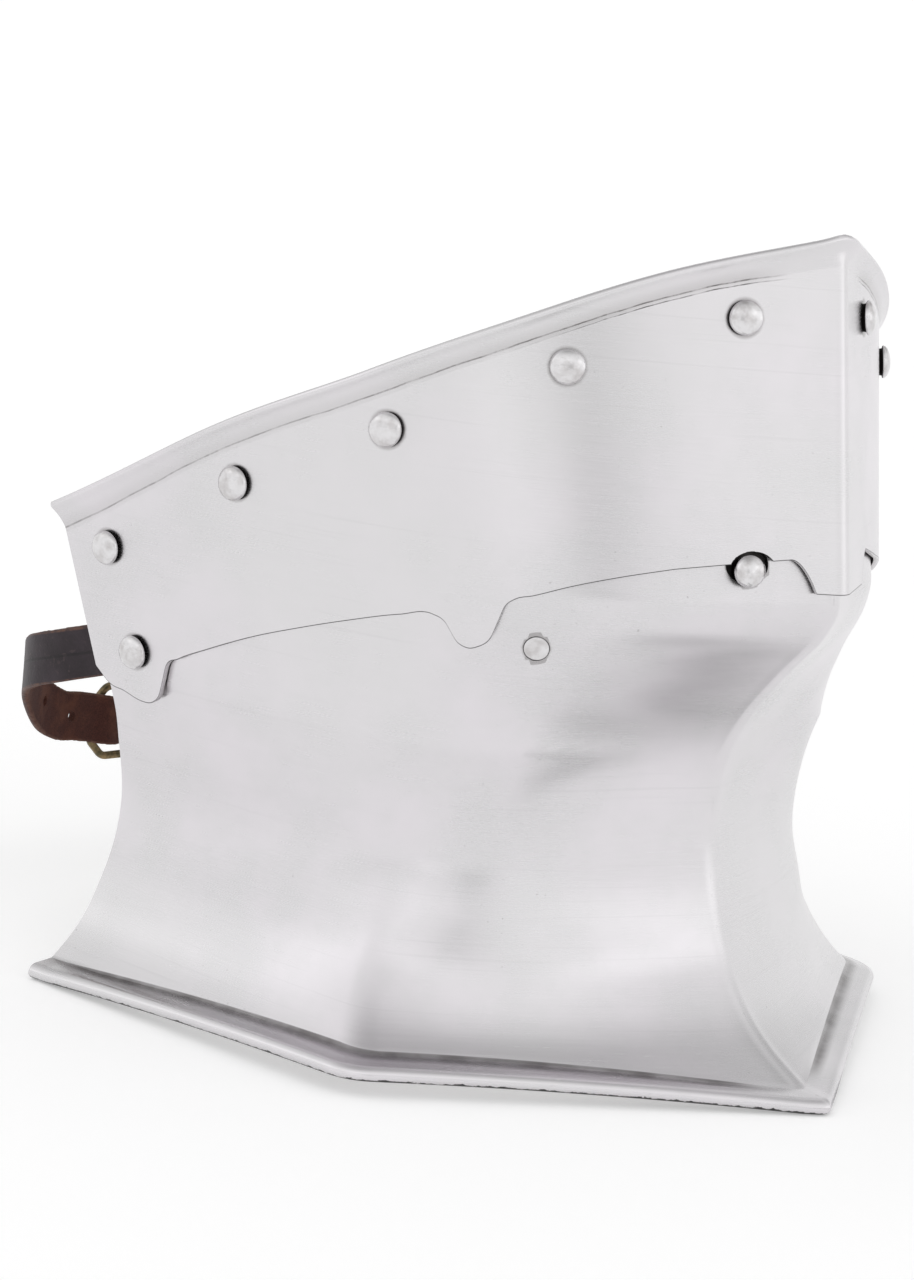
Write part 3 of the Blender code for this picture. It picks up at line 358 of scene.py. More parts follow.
def sunk(face, along, height, depth):
    along, height = np.broadcast_arrays(np.asarray(along, float), np.asarray(height, float))
    normal = outward(face, along, height)
    middle = normal * np.array([0.0, 1.0, 1.0])
    on_keel = along[..., None] < STEP
    share = np.maximum(np.sum(middle * normal, axis=-1, keepdims=True), STEP)
    way = np.where(on_keel, middle / share, normal)
    return face(along, height) - way * depth


def chin_skin(along, height, depth=0.0):
    return sunk(chin_face, along, height, depth)


def neck_skin(along, height, depth=0.0):
    return sunk(neck_guide, along, height, STEEL + SEAT + depth)


def crease_line(along):
    return smooth_rows(CREASE_ROWS, (1.0, CROWN), along)[0]


def lower_edge(along, side):
    start, lip = TAB_ALONG[side], EDGE_ROWS[0]
    behind = smooth_rows(EDGE_ROWS, (1.0, CROWN), along)[0]
    rise = np.sin(np.clip((along - start) / TAB_STEP, 0, 1) * np.pi / 2) ** 0.8
    step = (TAB_HEIGHT + (EDGE_FRONT_HEIGHT - TAB_HEIGHT) * rise) * CROWN
    run = (along - start - TAB_STEP) / (lip[0] - start - TAB_STEP)
    front = (EDGE_FRONT_HEIGHT + (lip[1] - EDGE_FRONT_HEIGHT) * run) * CROWN
    found = np.where(along >= lip[0], behind, front)
    found = np.where(along < start + TAB_STEP, step, found)
    return np.where(along <= start, TAB_HEIGHT * CROWN, found)


def mirrored(points, side):
    return points * np.array([side, 1.0, 1.0])


# Meshes

def new_object(name, data):
    thing = bpy.data.objects.new(name, data)
    bpy.context.scene.collection.objects.link(thing)
    return thing


def link(name, mesh, look, body, *nodes, slot):
    """A finished piece: named, dressed, riding on its body and standing for its solids.

    The body can be a pair of bodies with two places; such a piece keeps its place and rides on no body.
    """
    thing = new_object(name, mesh)
    mesh.materials.append(look)
    if isinstance(body, tuple):
        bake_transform(thing)
    else:
        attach(thing, body)
    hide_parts(*nodes)


def face_out(mesh):
    """Turn all faces outwards."""
    bm = bmesh.new()
    bm.from_mesh(mesh)
    bmesh.ops.recalc_face_normals(bm, faces=bm.faces)
    if bm.calc_volume(signed=True) < 0:
        bmesh.ops.reverse_faces(bm, faces=bm.faces)
    bm.to_mesh(mesh)
    bm.free()


def finished(name, verts, faces, numbers, sharp=None):
    """A smooth mesh with numbers stored at its points. Folds over the sharp angle, in degrees, stay sharp."""
    mesh = bpy.data.meshes.new(name)
    mesh.from_pydata([tuple(v) for v in verts], [], faces)
    for key, values in numbers.items():
        spot = mesh.attributes.new(key, "FLOAT", "POINT")
        spot.data.foreach_set("value", np.asarray(values, np.float32).ravel())
    face_out(mesh)
    mesh.shade_smooth()
    if sharp:
        mesh.set_sharp_from_angle(angle=math.radians(sharp))
    return mesh


def joined_rings(rings, count, closed=False):
    """Faces between neighbouring rings of points, and from the last ring to the first where closed."""
    faces = []
    for i in range(rings if closed else rings - 1):
        following = (i + 1) % rings
        for k in range(count):
            j = (k + 1) % count
            faces.append((i * count + k, following * count + k, following * count + j, i * count + j))
    return faces


def end_faces(rings, count):
    last = (rings - 1) * count
    return [tuple(range(count)), tuple(range(last, last + count))[::-1]]


def run_along(points):
    """Distance of each point from the first, along its row."""
    steps = np.linalg.norm(np.diff(points, axis=-2), axis=-1)
    return np.concatenate([np.zeros_like(steps[..., :1]), np.cumsum(steps, axis=-1)], axis=-1)


def rounded_keel(loops, radius):
    """Replace the sharp fold at the keel, column 0, by a round one. The radius is given for each row."""
    found = loops.copy()
    out = loops[:, :, 0]
    for row in range(loops.shape[1]):
        reach = radius[row]
        last = int(np.argmax(out[:, row] > reach))
        slope = (loops[last, row, 1] - loops[0, row, 1]) / out[last, row]
        inside = out[:last, row]
        found[:last, row, 1] = loops[0, row, 1] + slope * (inside**2 + reach**2) / (2 * reach)
    return found


def grid_mesh(name, loops, pairs, numbers, sharp=None):
    """Mesh of closed loops of points, with both ends filled by pairs of points across the sheet."""
    columns, count = loops.shape[:2]
    faces = joined_rings(columns, count)
    for base, order in ((0, 1), ((columns - 1) * count, -1)):
        for j in range(pairs):
            quad = (base + j, base + j + 1, base + count - 2 - j, base + count - 1 - j)
            faces.append(quad[::order])
        faces.append(tuple(base + j for j in range(pairs, count - pairs))[::order])
    verts = loops.reshape(-1, 3) - np.array([0.0, CENTRE_BACK, 0.0])
    return finished(name, verts, faces, numbers, sharp)


def punched(mesh, holes, segments=40, slots=()):
    """Cut round holes, each (matrix, radius, above, below), and slots, each (centre, size)."""
    bm = bmesh.new()
    for matrix, radius, above, below in holes:
        made = bmesh.ops.create_cone(
            bm, cap_ends=True, segments=segments, radius1=radius, radius2=radius, depth=above + below
        )
        shift = Matrix.Translation((0, 0, (above - below) / 2))
        bmesh.ops.transform(bm, matrix=matrix @ shift, verts=made["verts"])
    for centre, size in slots:
        bmesh.ops.create_cube(bm, matrix=Matrix.Translation(world(centre)) @ Matrix.Diagonal((*size, 1.0)))
    punch_mesh = bpy.data.meshes.new("punch")
    bm.to_mesh(punch_mesh)
    bm.free()
    thing, punch = new_object("punched", mesh), new_object("punch", punch_mesh)
    modifier = thing.modifiers.new("holes", "BOOLEAN")
    modifier.operation = "DIFFERENCE"
    modifier.solver = "EXACT"
    modifier.object = punch
    bpy.context.view_layer.update()
    cut = bpy.data.meshes.new_from_object(thing.evaluated_get(bpy.context.evaluated_depsgraph_get()))
    bpy.data.objects.remove(thing, do_unlink=True)
    bpy.data.objects.remove(punch, do_unlink=True)
    return cut


def facing(point, normal):
    turn = Vector(normal).normalized().to_track_quat("Z", "Y").to_matrix().to_4x4()
    return Matrix.Translation(world(point)) @ turn


def seat(face, skin, along, height, side):
    point = mirrored(skin(np.array(along), np.array(height)), side)
    normal = mirrored(outward(face, np.array(along), np.array(height)), side)
    return facing(point, normal)


def chin_seat(along, height, side):
    return seat(chin_face, chin_skin, along, height, side)


def neck_seat(along, height, side):
    return seat(neck_guide, neck_skin, along, height, side)


def rim_rivet_seat(along, side):
    return chin_seat(along, float(crease_line(np.array(along))) - RIM_RIVET_DROP, side)


def packed(*stretches):
    """Sorted places: each stretch is (start, end, count)."""
    return np.unique(np.round(np.concatenate([np.linspace(*stretch) for stretch in stretches]), 6))


def distance_to(points, seats):
    """Distance in metres of each point from the nearest of some seats."""
    best = np.full(points.shape[:-1], 1.0)
    for one in seats:
        centre = np.array(one.translation) + np.array([0.0, CENTRE_BACK, 0.0])
        best = np.minimum(best, np.linalg.norm(points - centre, axis=-1))
    return best


def arc_along(columns, side_face, height):
    """Length along the plate from the keel, for each column."""
    return run_along(side_face(columns, np.full(len(columns), height))[:, :2])


def both_sides(name, sides, pairs, seats):
    """One mesh of a plate from the columns and numbers of its sides. The left side has the keel's column."""
    order = [(RIGHT, k) for k in range(len(sides[RIGHT][0]) - 1, 0, -1)]
    order += [(LEFT, k) for k in range(len(sides[LEFT][0]))]
    loops = np.array([mirrored(sides[side][0][k], side) for side, k in order])
    numbers = {key: [sides[side][1][key][k] for side, k in order] for key in sides[LEFT][1]}
    numbers["near"] = distance_to(loops, seats)
    return grid_mesh(name, loops, pairs, numbers)


# Neck plate

# Gutter of the foot, from the crease outwards: distance and dip, and the bead's turns in degrees
GUTTER = [
    (0.0003, 0.00025), (0.0007, 0.00050), (0.0012, 0.00062), (0.0018, 0.00062),
    (0.0026, 0.00052), (0.0034, 0.00036), (0.0042, 0.00018), (0.0050, 0.00005),
]
GUTTER_ENDS = ((0.015, 0.13), (0.015, 0.09))
BEAD_TURNS = [90, 76, 63, 50, 37, 24, 11, -2, -15, -28, -41, -54, -67, -80]
BEAD_UNDER = [-100, -118, -136]
BORDER_SINK = 0.0009
ARC_HEIGHT_NECK = 0.06
# Numbers that the looks read: on faces that have none, and on the bead's upper and under round
FAR_AWAY = 0.05
DROP_ON_BEAD = 0.010
DROP_UNDER_BEAD = 0.020


def foot_border(columns, crease):
    """Points of the gutter, the bead and the under side, from the crease out to the rim and back in."""
    rim = rim_height(columns)
    run = foot_line(columns, 0.0) - crease[:, :2]
    width = np.linalg.norm(run, axis=1)
    way = run / width[:, None]
    rise = crease[:, 2] - rim
    centre = width - BEAD_REACH
    depth = eased(columns, *GUTTER_ENDS[0]) * eased(1 - columns, *GUTTER_ENDS[1])

    def place(distance, height):
        level = crease[:, :2] + way * np.broadcast_to(distance, width.shape)[:, None]
        return np.column_stack([level, rim + height])

    def on_bead(degrees):
        angle = math.radians(degrees)
        tall = BEAD_TOP - BEAD_MIDDLE if degrees > 0 else BEAD_MIDDLE
        return place(centre + BEAD_REACH * math.cos(angle), BEAD_MIDDLE + tall * math.sin(angle))

    found = []
    for distance, dip in GUTTER:
        found.append(place(distance, rise + (BEAD_TOP - rise) * distance / centre - dip * depth))
    found += [on_bead(degrees) for degrees in BEAD_TURNS + BEAD_UNDER]
    sheet = BEAD_TOP - BORDER_SINK
    found += [place(0.28 * width, sheet - STEEL), place(0.14 * width, sheet - 0.9 * STEEL)]
    found += [place(0.02 * width, np.minimum(rise - 1.2 * STEEL, sheet + 0.4 * STEEL))]
    return np.stack(found, axis=1)


def neck_mesh():
    corner, half = FOOT_CORNER_ALONG, FOOT_CORNER_ROUND
    columns = packed(
        (0.0, 0.018, 13), (0.018, corner - half, 76),
        (corner - half, corner + half, 17), (corner + half, 1.0, 64),
    )
    shares = packed((0.0, 0.04, 6), (0.04, 1.0, 58))[::-1]
    low = crease_height(columns)
    high = NECK_RISE_FRONT + (NECK_RISE_REAR - NECK_RISE_FRONT) * columns
    heights = low[:, None] + (high - low)[:, None] * shares[None, :]
    clear = 5 * STEP
    for joint in (REAR_ROWS[-1][0] * CROWN, KEEL_ROWS[-1][0] * CROWN):
        heights = np.where(abs(heights - joint) < clear, joint + clear, heights)
    along = np.broadcast_to(columns[:, None], heights.shape)
    outer, inner = neck_skin(along, heights), neck_skin(along, heights, STEEL)
    crease = outer[:, -1]
    whole = np.concatenate([outer, foot_border(columns, crease), inner[:, ::-1]], axis=1)
    rows, count = outer.shape[1], whole.shape[1]
    keel_radius = np.full(count, KEEL_ROUND)
    keel_radius[rows : count - rows] = 0.5 * KEEL_ROUND
    whole = rounded_keel(whole, keel_radius)

    bead = rows + len(GUTTER)
    under = bead + len(BEAD_TURNS)
    back = under + len(BEAD_UNDER)
    drop = np.full(whole.shape[:2], -FAR_AWAY)
    drop[:, :rows] = -run_along(outer[:, ::-1])[:, ::-1]
    drop[:, rows:bead] = np.linalg.norm(whole[:, rows:bead, :2] - crease[:, None, :2], axis=-1) + 0.0001
    drop[:, bead:under] = DROP_ON_BEAD + (90 - np.array(BEAD_TURNS)) / 18000
    drop[:, under:back] = DROP_UNDER_BEAD
    inside = np.zeros(whole.shape[:2])
    inside[:, back:] = 1.0
    arc = np.broadcast_to(arc_along(columns, neck_guide, ARC_HEIGHT_NECK)[:, None], whole.shape[:2])
    places = np.broadcast_to(columns[:, None], whole.shape[:2])
    sides = {}
    for side in (LEFT, RIGHT):
        sides[side] = (whole, {"arc": side * arc, "drop": drop, "inner": inside, "along": places})
    seats = [neck_seat(SPRING_ALONG, SPRING_HEIGHT, RIGHT), neck_seat(STUD_ALONG, STUD_HEIGHT, RIGHT)]
    return both_sides("neck_plate_sheet", sides, rows - 1 + 3, seats)


# Chin plate

CHIN_COLUMNS = packed(
    (0.0, 0.045, 26), (0.045, 0.228, 42), (0.228, 0.48, 34),
    (0.48, 0.61, 60), (0.61, 0.92, 44), (0.92, 1.0, 46),
)
CHIN_SHARES = packed((0.0, 0.08, 5), (0.08, 1.0, 26))
LEAST_COLUMN = 0.0004
ARC_HEIGHT_CHIN = 0.16
# The rim's outer face upwards, as shares of its height, flare and roll, and its inner face downwards
RIM_STEPS = [
    (0.06, 0.00, 0.0), (0.12, 0.035, 0.0), (0.22, 0.10, 0.0), (0.34, 0.20, 0.0), (0.48, 0.36, 0.0),
    (0.60, 0.52, 0.0), (0.72, 0.69, 0.1), (0.82, 0.84, 0.35), (0.90, 0.94, 0.7), (0.96, 1.0, 0.95),
    (1.0, 1.0, 1.0),
]
RIM_BACK_STEPS = [
    (1.0, 1.0), (0.80, 0.80), (0.60, 0.52), (0.48, 0.36), (0.34, 0.20), (0.22, 0.10), (0.10, 0.02),
]


def turned_rim(columns, high, crest):
    """Points up the outward rim of the chin plate and over its edge, and points down its inner face."""
    normal = outward(chin_face, columns, high)
    normal[0] = normal[0] * np.array([0.0, 1.0, 1.0]) / np.linalg.norm(normal[0, 1:])
    ahead, behind = np.maximum(columns - 0.01, 0.0), np.minimum(columns + 0.01, 1.0)
    run = chin_skin(behind, crease_line(behind)) - chin_skin(ahead, crease_line(ahead))
    run[0] = (1.0, 0.0, 0.0)
    up = np.cross(run, normal)
    up /= np.linalg.norm(up, axis=1, keepdims=True)
    up = np.where(up[:, 2:3] > 0, up, -up)
    near_end = eased(np.minimum(columns, 1 - columns), 0.0, RIM_END_REACH)
    tall = RIM_HEIGHT * (RIM_END_SHARE + (1 - RIM_END_SHARE) * near_end)[:, None]
    rim = [crest + up * tall * u + normal * (RIM_FLARE * o + RIM_ROLL * r) for u, o, r in RIM_STEPS]
    top = rim[-1] + up * STEEL * 0.8 - normal * (RIM_ROLL + 0.3 * STEEL)
    corner = rim[-1] + up * STEEL * 0.42 - normal * 0.10 * STEEL
    corner_in = top - up * STEEL * 0.25 - normal * 0.45 * STEEL
    rim += [corner, 0.5 * (corner + top) + up * STEEL * 0.12, top, corner_in]
    return rim, [crest + up * tall * u + normal * (RIM_FLARE * o - STEEL) for u, o in RIM_BACK_STEPS]


def chin_side(side):
    """Columns of one side of the chin plate, the numbers that its look reads, and the rows under the rim."""
    start = TAB_ALONG[side]
    step = packed((start - 0.004, start + TAB_STEP + 0.004, 34))
    columns = np.unique(np.round(np.concatenate([CHIN_COLUMNS, step]), 6))
    columns = np.concatenate([[0.0], columns[1:][np.diff(columns) > LEAST_COLUMN]])
    low, high = lower_edge(columns, side), crease_line(columns)
    heights = low[:, None] + (high - low)[:, None] * CHIN_SHARES[None, :]
    along = np.broadcast_to(columns[:, None], heights.shape)
    outer, inner = chin_skin(along, heights), chin_skin(along, heights, STEEL)
    rim, rim_back = turned_rim(columns, high, outer[:, -1])
    whole = np.concatenate([outer, np.stack(rim + rim_back, axis=1), inner[:, ::-1]], axis=1)
    rows = outer.shape[1]
    back = rows + len(rim)
    edge = len(rim) - len(RIM_STEPS)
    share = np.array([u for u, _, _ in RIM_STEPS] + [1.0] * edge + [u for u, _ in RIM_BACK_STEPS])
    keel_radius = np.full(whole.shape[1], KEEL_ROUND)
    keel_radius[rows : rows + len(share)] += (RIM_ROUND - KEEL_ROUND) * eased(share, 0.0, 0.9)
    whole = rounded_keel(whole, keel_radius)

    drop, lift = np.full(whole.shape[:2], -FAR_AWAY), np.full(whole.shape[:2], FAR_AWAY)
    drop[:, :rows] = heights - high[:, None]
    drop[:, rows:back] = RIM_HEIGHT * share[: len(rim)]
    drop[:, back - edge : back] += 0.0004 * np.arange(1, edge + 1)
    lift[:, :rows] = heights - low[:, None]
    inside = np.zeros(whole.shape[:2])
    inside[:, back:] = 1.0
    arc = np.broadcast_to(side * arc_along(columns, chin_face, ARC_HEIGHT_CHIN)[:, None], whole.shape[:2])
    return whole, {"arc": arc, "drop": drop, "lift": lift, "inner": inside}, rows


def chin_mesh():
    sides = {side: chin_side(side) for side in (LEFT, RIGHT)}
    seats = [rim_rivet_seat(t, s) for t in RIM_RIVETS_ALONG for s in (LEFT, RIGHT)]
    seats += [chin_seat(PIVOT_ALONG, PIVOT_HEIGHT, s) for s in (LEFT, RIGHT)]
    pairs = sides[LEFT][2] - 1 + len(RIM_BACK_STEPS)
    return both_sides("chin_plate_sheet", sides, pairs, seats)


# Turned pieces

TURNED_SEGMENTS = 56
DOME_TURNS = (8, 16, 24, 32, 41, 50, 59, 67, 74, 81, 87)


def turned_mesh(name, profile, seat_matrix, wobble, seed):
    """Turn a profile of (radius, height, kind) rows; its first and last rows are on the axis."""
    phase = np.random.default_rng(seed).uniform(0, 2 * np.pi, 4)
    verts, kinds = [], []
    for radius, height, kind in profile[1:-1]:
        for k in range(TURNED_SEGMENTS):
            angle = 2 * math.pi * k / TURNED_SEGMENTS
            wave = 0.6 * math.sin(2 * angle + phase[0]) + 0.4 * math.sin(3 * angle + phase[1])
            r = radius * (1 + wobble * wave)
            verts.append((r * math.cos(angle), r * math.sin(angle), height))
            kinds.append(kind)
    verts += [(0, 0, profile[0][1]), (0, 0, profile[-1][1])]
    kinds += [profile[0][2], profile[-1][2]]
    rings = len(profile) - 2
    faces = joined_rings(rings, TURNED_SEGMENTS)
    top, last = rings * TURNED_SEGMENTS, (rings - 1) * TURNED_SEGMENTS
    for k in range(TURNED_SEGMENTS):
        j = (k + 1) % TURNED_SEGMENTS
        faces += [(top, k, j), (top + 1, last + j, last + k)]
    return finished(name, [seat_matrix @ Vector(v) for v in verts], faces, {"kind": kinds}, 50)


def rivet_rows(radius, collar, dome, grip, burr_radius=BURR_RADIUS, shank=SHANK_RADIUS):
    """A domed head over a dark collar, a shank through the grip and a hammered burr."""
    gap, burr = 0.4 * SEAT, -grip - SEAT
    rows = [(0.0, collar + dome, 0.0)]
    for degrees in DOME_TURNS:
        angle = math.radians(degrees)
        rows.append((radius * math.sin(angle) ** 0.96, collar + dome * math.cos(angle), 0.0))
    rows += [(radius, collar - 0.0001, 0.1), (0.96 * radius, collar - 0.0003, 0.7)]
    rows += [(0.84 * radius, collar - 0.0004, 1.0), (0.80 * radius, gap, 1.0)]
    rows += [(shank, gap, 1.0), (shank, burr, 1.0), (burr_radius, burr, 0.3)]
    rows += [(burr_radius, burr - 0.8 * SEAT, 0.0), (0.85 * burr_radius, burr - 0.6 * BURR_HEIGHT, 0.0)]
    rows += [(0.5 * burr_radius, burr - 0.93 * BURR_HEIGHT, 0.0), (0.0, burr - BURR_HEIGHT, 0.0)]
    return rows


def flush_rows():
    """The rivet of the leaf spring: a flat head level with the plate, a thin shank and a small burr."""
    crown, fall = 0.00022, 0.00012
    thin, burr = 0.8 * SHANK_RADIUS, -STEEL - 2 * SEAT - SPRING_STEEL
    rows = [(CATCH_RIVET_RADIUS * u, crown - fall * u * u, 0.0) for u in (0.0, 0.3, 0.6, 0.85, 0.96)]
    rows += [(CATCH_RIVET_RADIUS, 0.0, 0.5), (CATCH_RIVET_RADIUS, -STEEL, 1.0), (thin, -STEEL, 1.0)]
    rows += [(thin, burr, 1.0), (0.8 * BURR_RADIUS, burr, 0.0)]
    rows += [(0.6 * BURR_RADIUS, burr - 0.7 * BURR_HEIGHT, 0.0), (0.0, burr - BURR_HEIGHT, 0.0)]
    return rows


# Straps

# The strap inside the plates: along and sag. Then its bends behind them: out, back, sag and lean
STRAP_START = ((PIVOT_ALONG - 0.035, -0.03), (PIVOT_ALONG, 0.0), (0.977, 0.02), (0.993, 0.04))
STRAP_BENDS = [
    (0.985, 0.055, 0.070, 0.17), (1.035, 0.25, 0.170, 0.12), (1.020, 0.44, 0.265, 0.05),
    (0.905, 0.67, 0.420, 0.0), (0.740, 0.87, 0.700, 0.0), (0.620, 0.955, 0.835, 0.0),
    (0.530, 0.985, 0.870, 0.0),
]
STRAP_SPACING = 0.0011
FIRST_HOLE = 0.0045
FINE_SPACING = 0.0005


def loop_height(out):
    share = out / STRAP_OUT
    return PIVOT_HEIGHT - (1 - 0.48 * share**2) * STRAP_SAG


def on_loop(out, layer):
    """A row of the strap's path where it hangs behind: its place and the way across the leather."""
    return np.array([out, STRAP_BACK + layer, loop_height(out), 0, 0, 1])


def smooth_back(back):
    share = min(max((back - DEPTH) / STRAP_REACH, 0.0), 1.0)
    return share * share


def strap_route(side, layer):
    rows = []
    inside = STEEL + 3 * SEAT + LEATHER / 2
    for along, sag in STRAP_START:
        middle = PIVOT_HEIGHT - sag * STRAP_SAG
        low, high = neck_skin(along, np.array([middle - STRAP_WIDTH / 2, middle + STRAP_WIDTH / 2]), inside)
        rows.append([*(low + high) / 2, *(high - low) / np.linalg.norm(high - low)])
    for out, back, sag, lean in STRAP_BENDS:
        rows.append([out * STRAP_OUT, DEPTH + back * STRAP_REACH, PIVOT_HEIGHT - sag * STRAP_SAG, lean, 0, 1])
    rows += [on_loop(out * STRAP_OUT, 0.0) for out in (0.40, 0.28, 0.14, 0.0, -0.14, -0.28, -0.40)]
    sides = np.array([side, 1, 1, side, 1, 1])
    return [np.array(row) * sides + np.array([0, layer * smooth_back(row[1]), 0, 0, 0, 0]) for row in rows]


def curve_through(points, spacing):
    """Even steps along a smooth curve through some rows."""
    given = np.array(points)
    ghost = np.vstack([2 * given[0] - given[1], given, 2 * given[-1] - given[-2]])
    fine = []
    for i in range(1, len(ghost) - 2):
        p0, p1, p2, p3 = ghost[i - 1 : i + 3]
        bend, twist = 2 * p0 - 5 * p1 + 4 * p2 - p3, 3 * p1 - p0 - 3 * p2 + p3
        for u in np.linspace(0, 1, 24, endpoint=False):
            fine.append(0.5 * (2 * p1 + (p2 - p0) * u + bend * u**2 + twist * u**3))
    fine = np.array(fine + [given[-1]])
    run = run_along(fine[:, :3])
    count = max(int(round(run[-1] / spacing)), 2)
    want = np.linspace(0, run[-1], count + 1)
    return np.stack([np.interp(want, run, column) for column in fine.T], axis=1)


def strap_ring():
    """The strap's section with rounded edges: rows of across, through, across share and side share."""
    half_thick, bevel = LEATHER / 2, 0.30 * LEATHER
    flat = STRAP_WIDTH / 2 - bevel
    ring = []
    for end, face in ((-1, 1), (1, -1)):
        for a in np.linspace(-end, end, 15):
            ring.append((a * flat, face * half_thick, a * 0.93, 1.0 if face > 0 else 0.0))
        for degrees in (60, 30, 0, -30, -60):
            angle = math.radians(face * degrees)
            outside = face * degrees > 0
            corner = half_thick - bevel if outside else bevel - half_thick
            across = end * (flat + bevel * math.cos(angle))
            ring.append((across, corner + bevel * math.sin(angle), end, 0.72 if outside else 0.3))
    return np.array(ring)


def band_mesh(name, path, seed, outer_sign, taper=0):
    """A strap along a path. Numbers: across from -1 to 1, run in metres, and side 1 outside, 0 inside."""
    ring = strap_ring()
    ragged = np.random.default_rng(seed).normal(0, 1, (len(path), len(ring)))
    verts = []
    for i, (row, way) in enumerate(zip(path, np.gradient(path[:, :3], axis=0))):
        point, up = row[:3], row[3:]
        way = way / np.linalg.norm(way)
        up = up - way * (up @ way)
        up /= np.linalg.norm(up)
        thick = np.cross(way, up) * outer_sign
        left = len(path) - 1 - i
        scale = math.sin(math.pi / 2 * (left + 0.6) / (taper + 0.6)) if left < taper else 1.0
        for k, (across, through, share, side) in enumerate(ring):
            shag = 0.00007 * ragged[i, k] * (1.0 if side < 0.5 else 0.1)
            edge = 1.0 if abs(share) > 0.95 and side < 0.5 else 0.35
            shift = up * (across * scale + shag * edge * np.sign(across))
            verts.append(world(point + shift + thick * (through + 0.5 * shag)))
    numbers = {
        "across": np.tile(ring[:, 2], len(path)),
        "run": np.repeat(run_along(path[:, :3]), len(ring)),
        "side": np.tile(ring[:, 3], len(path)),
    }
    faces = joined_rings(len(path), len(ring)) + end_faces(len(path), len(ring))
    return finished(name, verts, faces, numbers, 60)


def buckle_points():
    tip = BUCKLE_OUT - BUCKLE_LENGTH / 2 + BUCKLE_BAR / 2
    heel = BUCKLE_OUT + BUCKLE_LENGTH / 2 - BUCKLE_BAR / 2
    fold = math.hypot(BUCKLE_BAR, BUCKLE_THICKNESS) / 2 + SEAT + LEATHER / 2
    return tip, heel, fold


def pivot_hole(side):
    return chin_seat(PIVOT_ALONG, PIVOT_HEIGHT, side), SHANK_RADIUS + 2 * SEAT, 0.0, 6 * STEEL


def tongue_slot(out, length, fold):
    return (out, STRAP_BACK, loop_height(out)), (length, 4 * fold, 2 * TONGUE_RADIUS + 0.0016)


def hole_strap_mesh():
    tip, heel, fold = buckle_points()
    lift = fold + LEATHER + 2 * SEAT
    rest = (LEATHER + SEAT) / 2
    under = BUCKLE_THICKNESS / 2 + SEAT + LEATHER / 2
    path = [p for p in strap_route(RIGHT, -under) if p[0] < tip - 0.006]
    tail = [
        (tip - 0.002, -under), (tip + 0.0063, -under), (tip + 0.0137, 0.27 * lift),
        (heel - 0.0035, 0.90 * lift), (heel + 0.001, lift), (heel + 0.010, lift),
        (heel + 0.022, 3 * rest), (heel + 0.034, 3 * rest),
        (heel + 0.045, 2.4 * rest), (TAIL_END - 0.014, rest + SEAT), (TAIL_END, rest + SEAT),
    ]
    path += [on_loop(out, layer) for out, layer in tail]
    mesh = band_mesh("hole_strap_leather", curve_through(path, STRAP_SPACING), 3, -1, taper=9)
    holes = [pivot_hole(RIGHT)]
    route = curve_through([p for p in strap_route(RIGHT, 0.0) if p[0] < tip - 0.006], FINE_SPACING)[:, :3]
    ways = np.gradient(route, axis=0)
    for number in (0, 1, 2):
        index = len(route) - 1 - int(round((number * HOLE_PITCH + FIRST_HOLE) / FINE_SPACING))
        way = ways[index] / np.linalg.norm(ways[index])
        holes.append((facing(route[index], np.cross(way, (0, 0, 1))), STRAP_HOLE, 3 * LEATHER, 3 * LEATHER))
        out = heel + 0.016 + number * HOLE_PITCH
        place = (out, STRAP_BACK + fold + 1.5 * LEATHER, loop_height(out))
        holes.append((facing(place, (0, 1, 0)), STRAP_HOLE, 2 * LEATHER, 1.9 * LEATHER))
    return punched(mesh, holes, 24, [tongue_slot(tip + 0.0139, 0.0110, fold)])


def buckle_strap_mesh():
    _, heel, fold = buckle_points()
    rest = (LEATHER + SEAT) / 2
    left = [p for p in strap_route(LEFT, -rest) if p[0] > heel + 0.014]
    left += [on_loop(heel + 0.012, -rest), on_loop(heel + 0.005, -0.8 * fold), on_loop(heel, -fold)]
    turn = []
    for degrees in range(12, 180, 12):
        angle = math.radians(degrees)
        turn.append(on_loop(heel - fold * math.sin(angle), -fold * math.cos(angle)))
    back = [on_loop(heel, fold), on_loop(heel + 0.005, 0.8 * fold)]
    back += [on_loop(heel + 0.012, rest), on_loop(heel + 0.024, rest)]
    path = np.vstack([curve_through(left, STRAP_SPACING), turn, curve_through(back, 2 * FINE_SPACING)])
    mesh = band_mesh("buckle_strap_leather", path, 4, 1)
    return punched(mesh, [pivot_hole(LEFT)], 24, [tongue_slot(heel, 2.8 * fold, fold)])


# Buckle

def tube_mesh(name, points, up, shapes, closed):
    """Sections, each given as (across, up) pairs, swept along a path."""
    points = np.array(points, float)
    ways = np.gradient(points, axis=0)
    if closed:
        ways = np.roll(points, -1, axis=0) - np.roll(points, 1, axis=0)
    verts = []
    for point, way, shape in zip(points, ways, shapes):
        way = way / np.linalg.norm(way)
        side = np.cross(way, up)
        side /= np.linalg.norm(side)
        over = np.cross(side, way)
        verts += [world(point + side * a + over * b) for a, b in shape]
    faces = joined_rings(len(points), len(shapes[0]), closed)
    if not closed:
        faces += end_faces(len(points), len(shapes[0]))
    return finished(name, verts, faces, {})


def squared(share):
    """A circle's sine or cosine drawn out towards a square's, for a bar with flattened sides."""
    return math.copysign(abs(share) ** 0.62, share) * 0.96


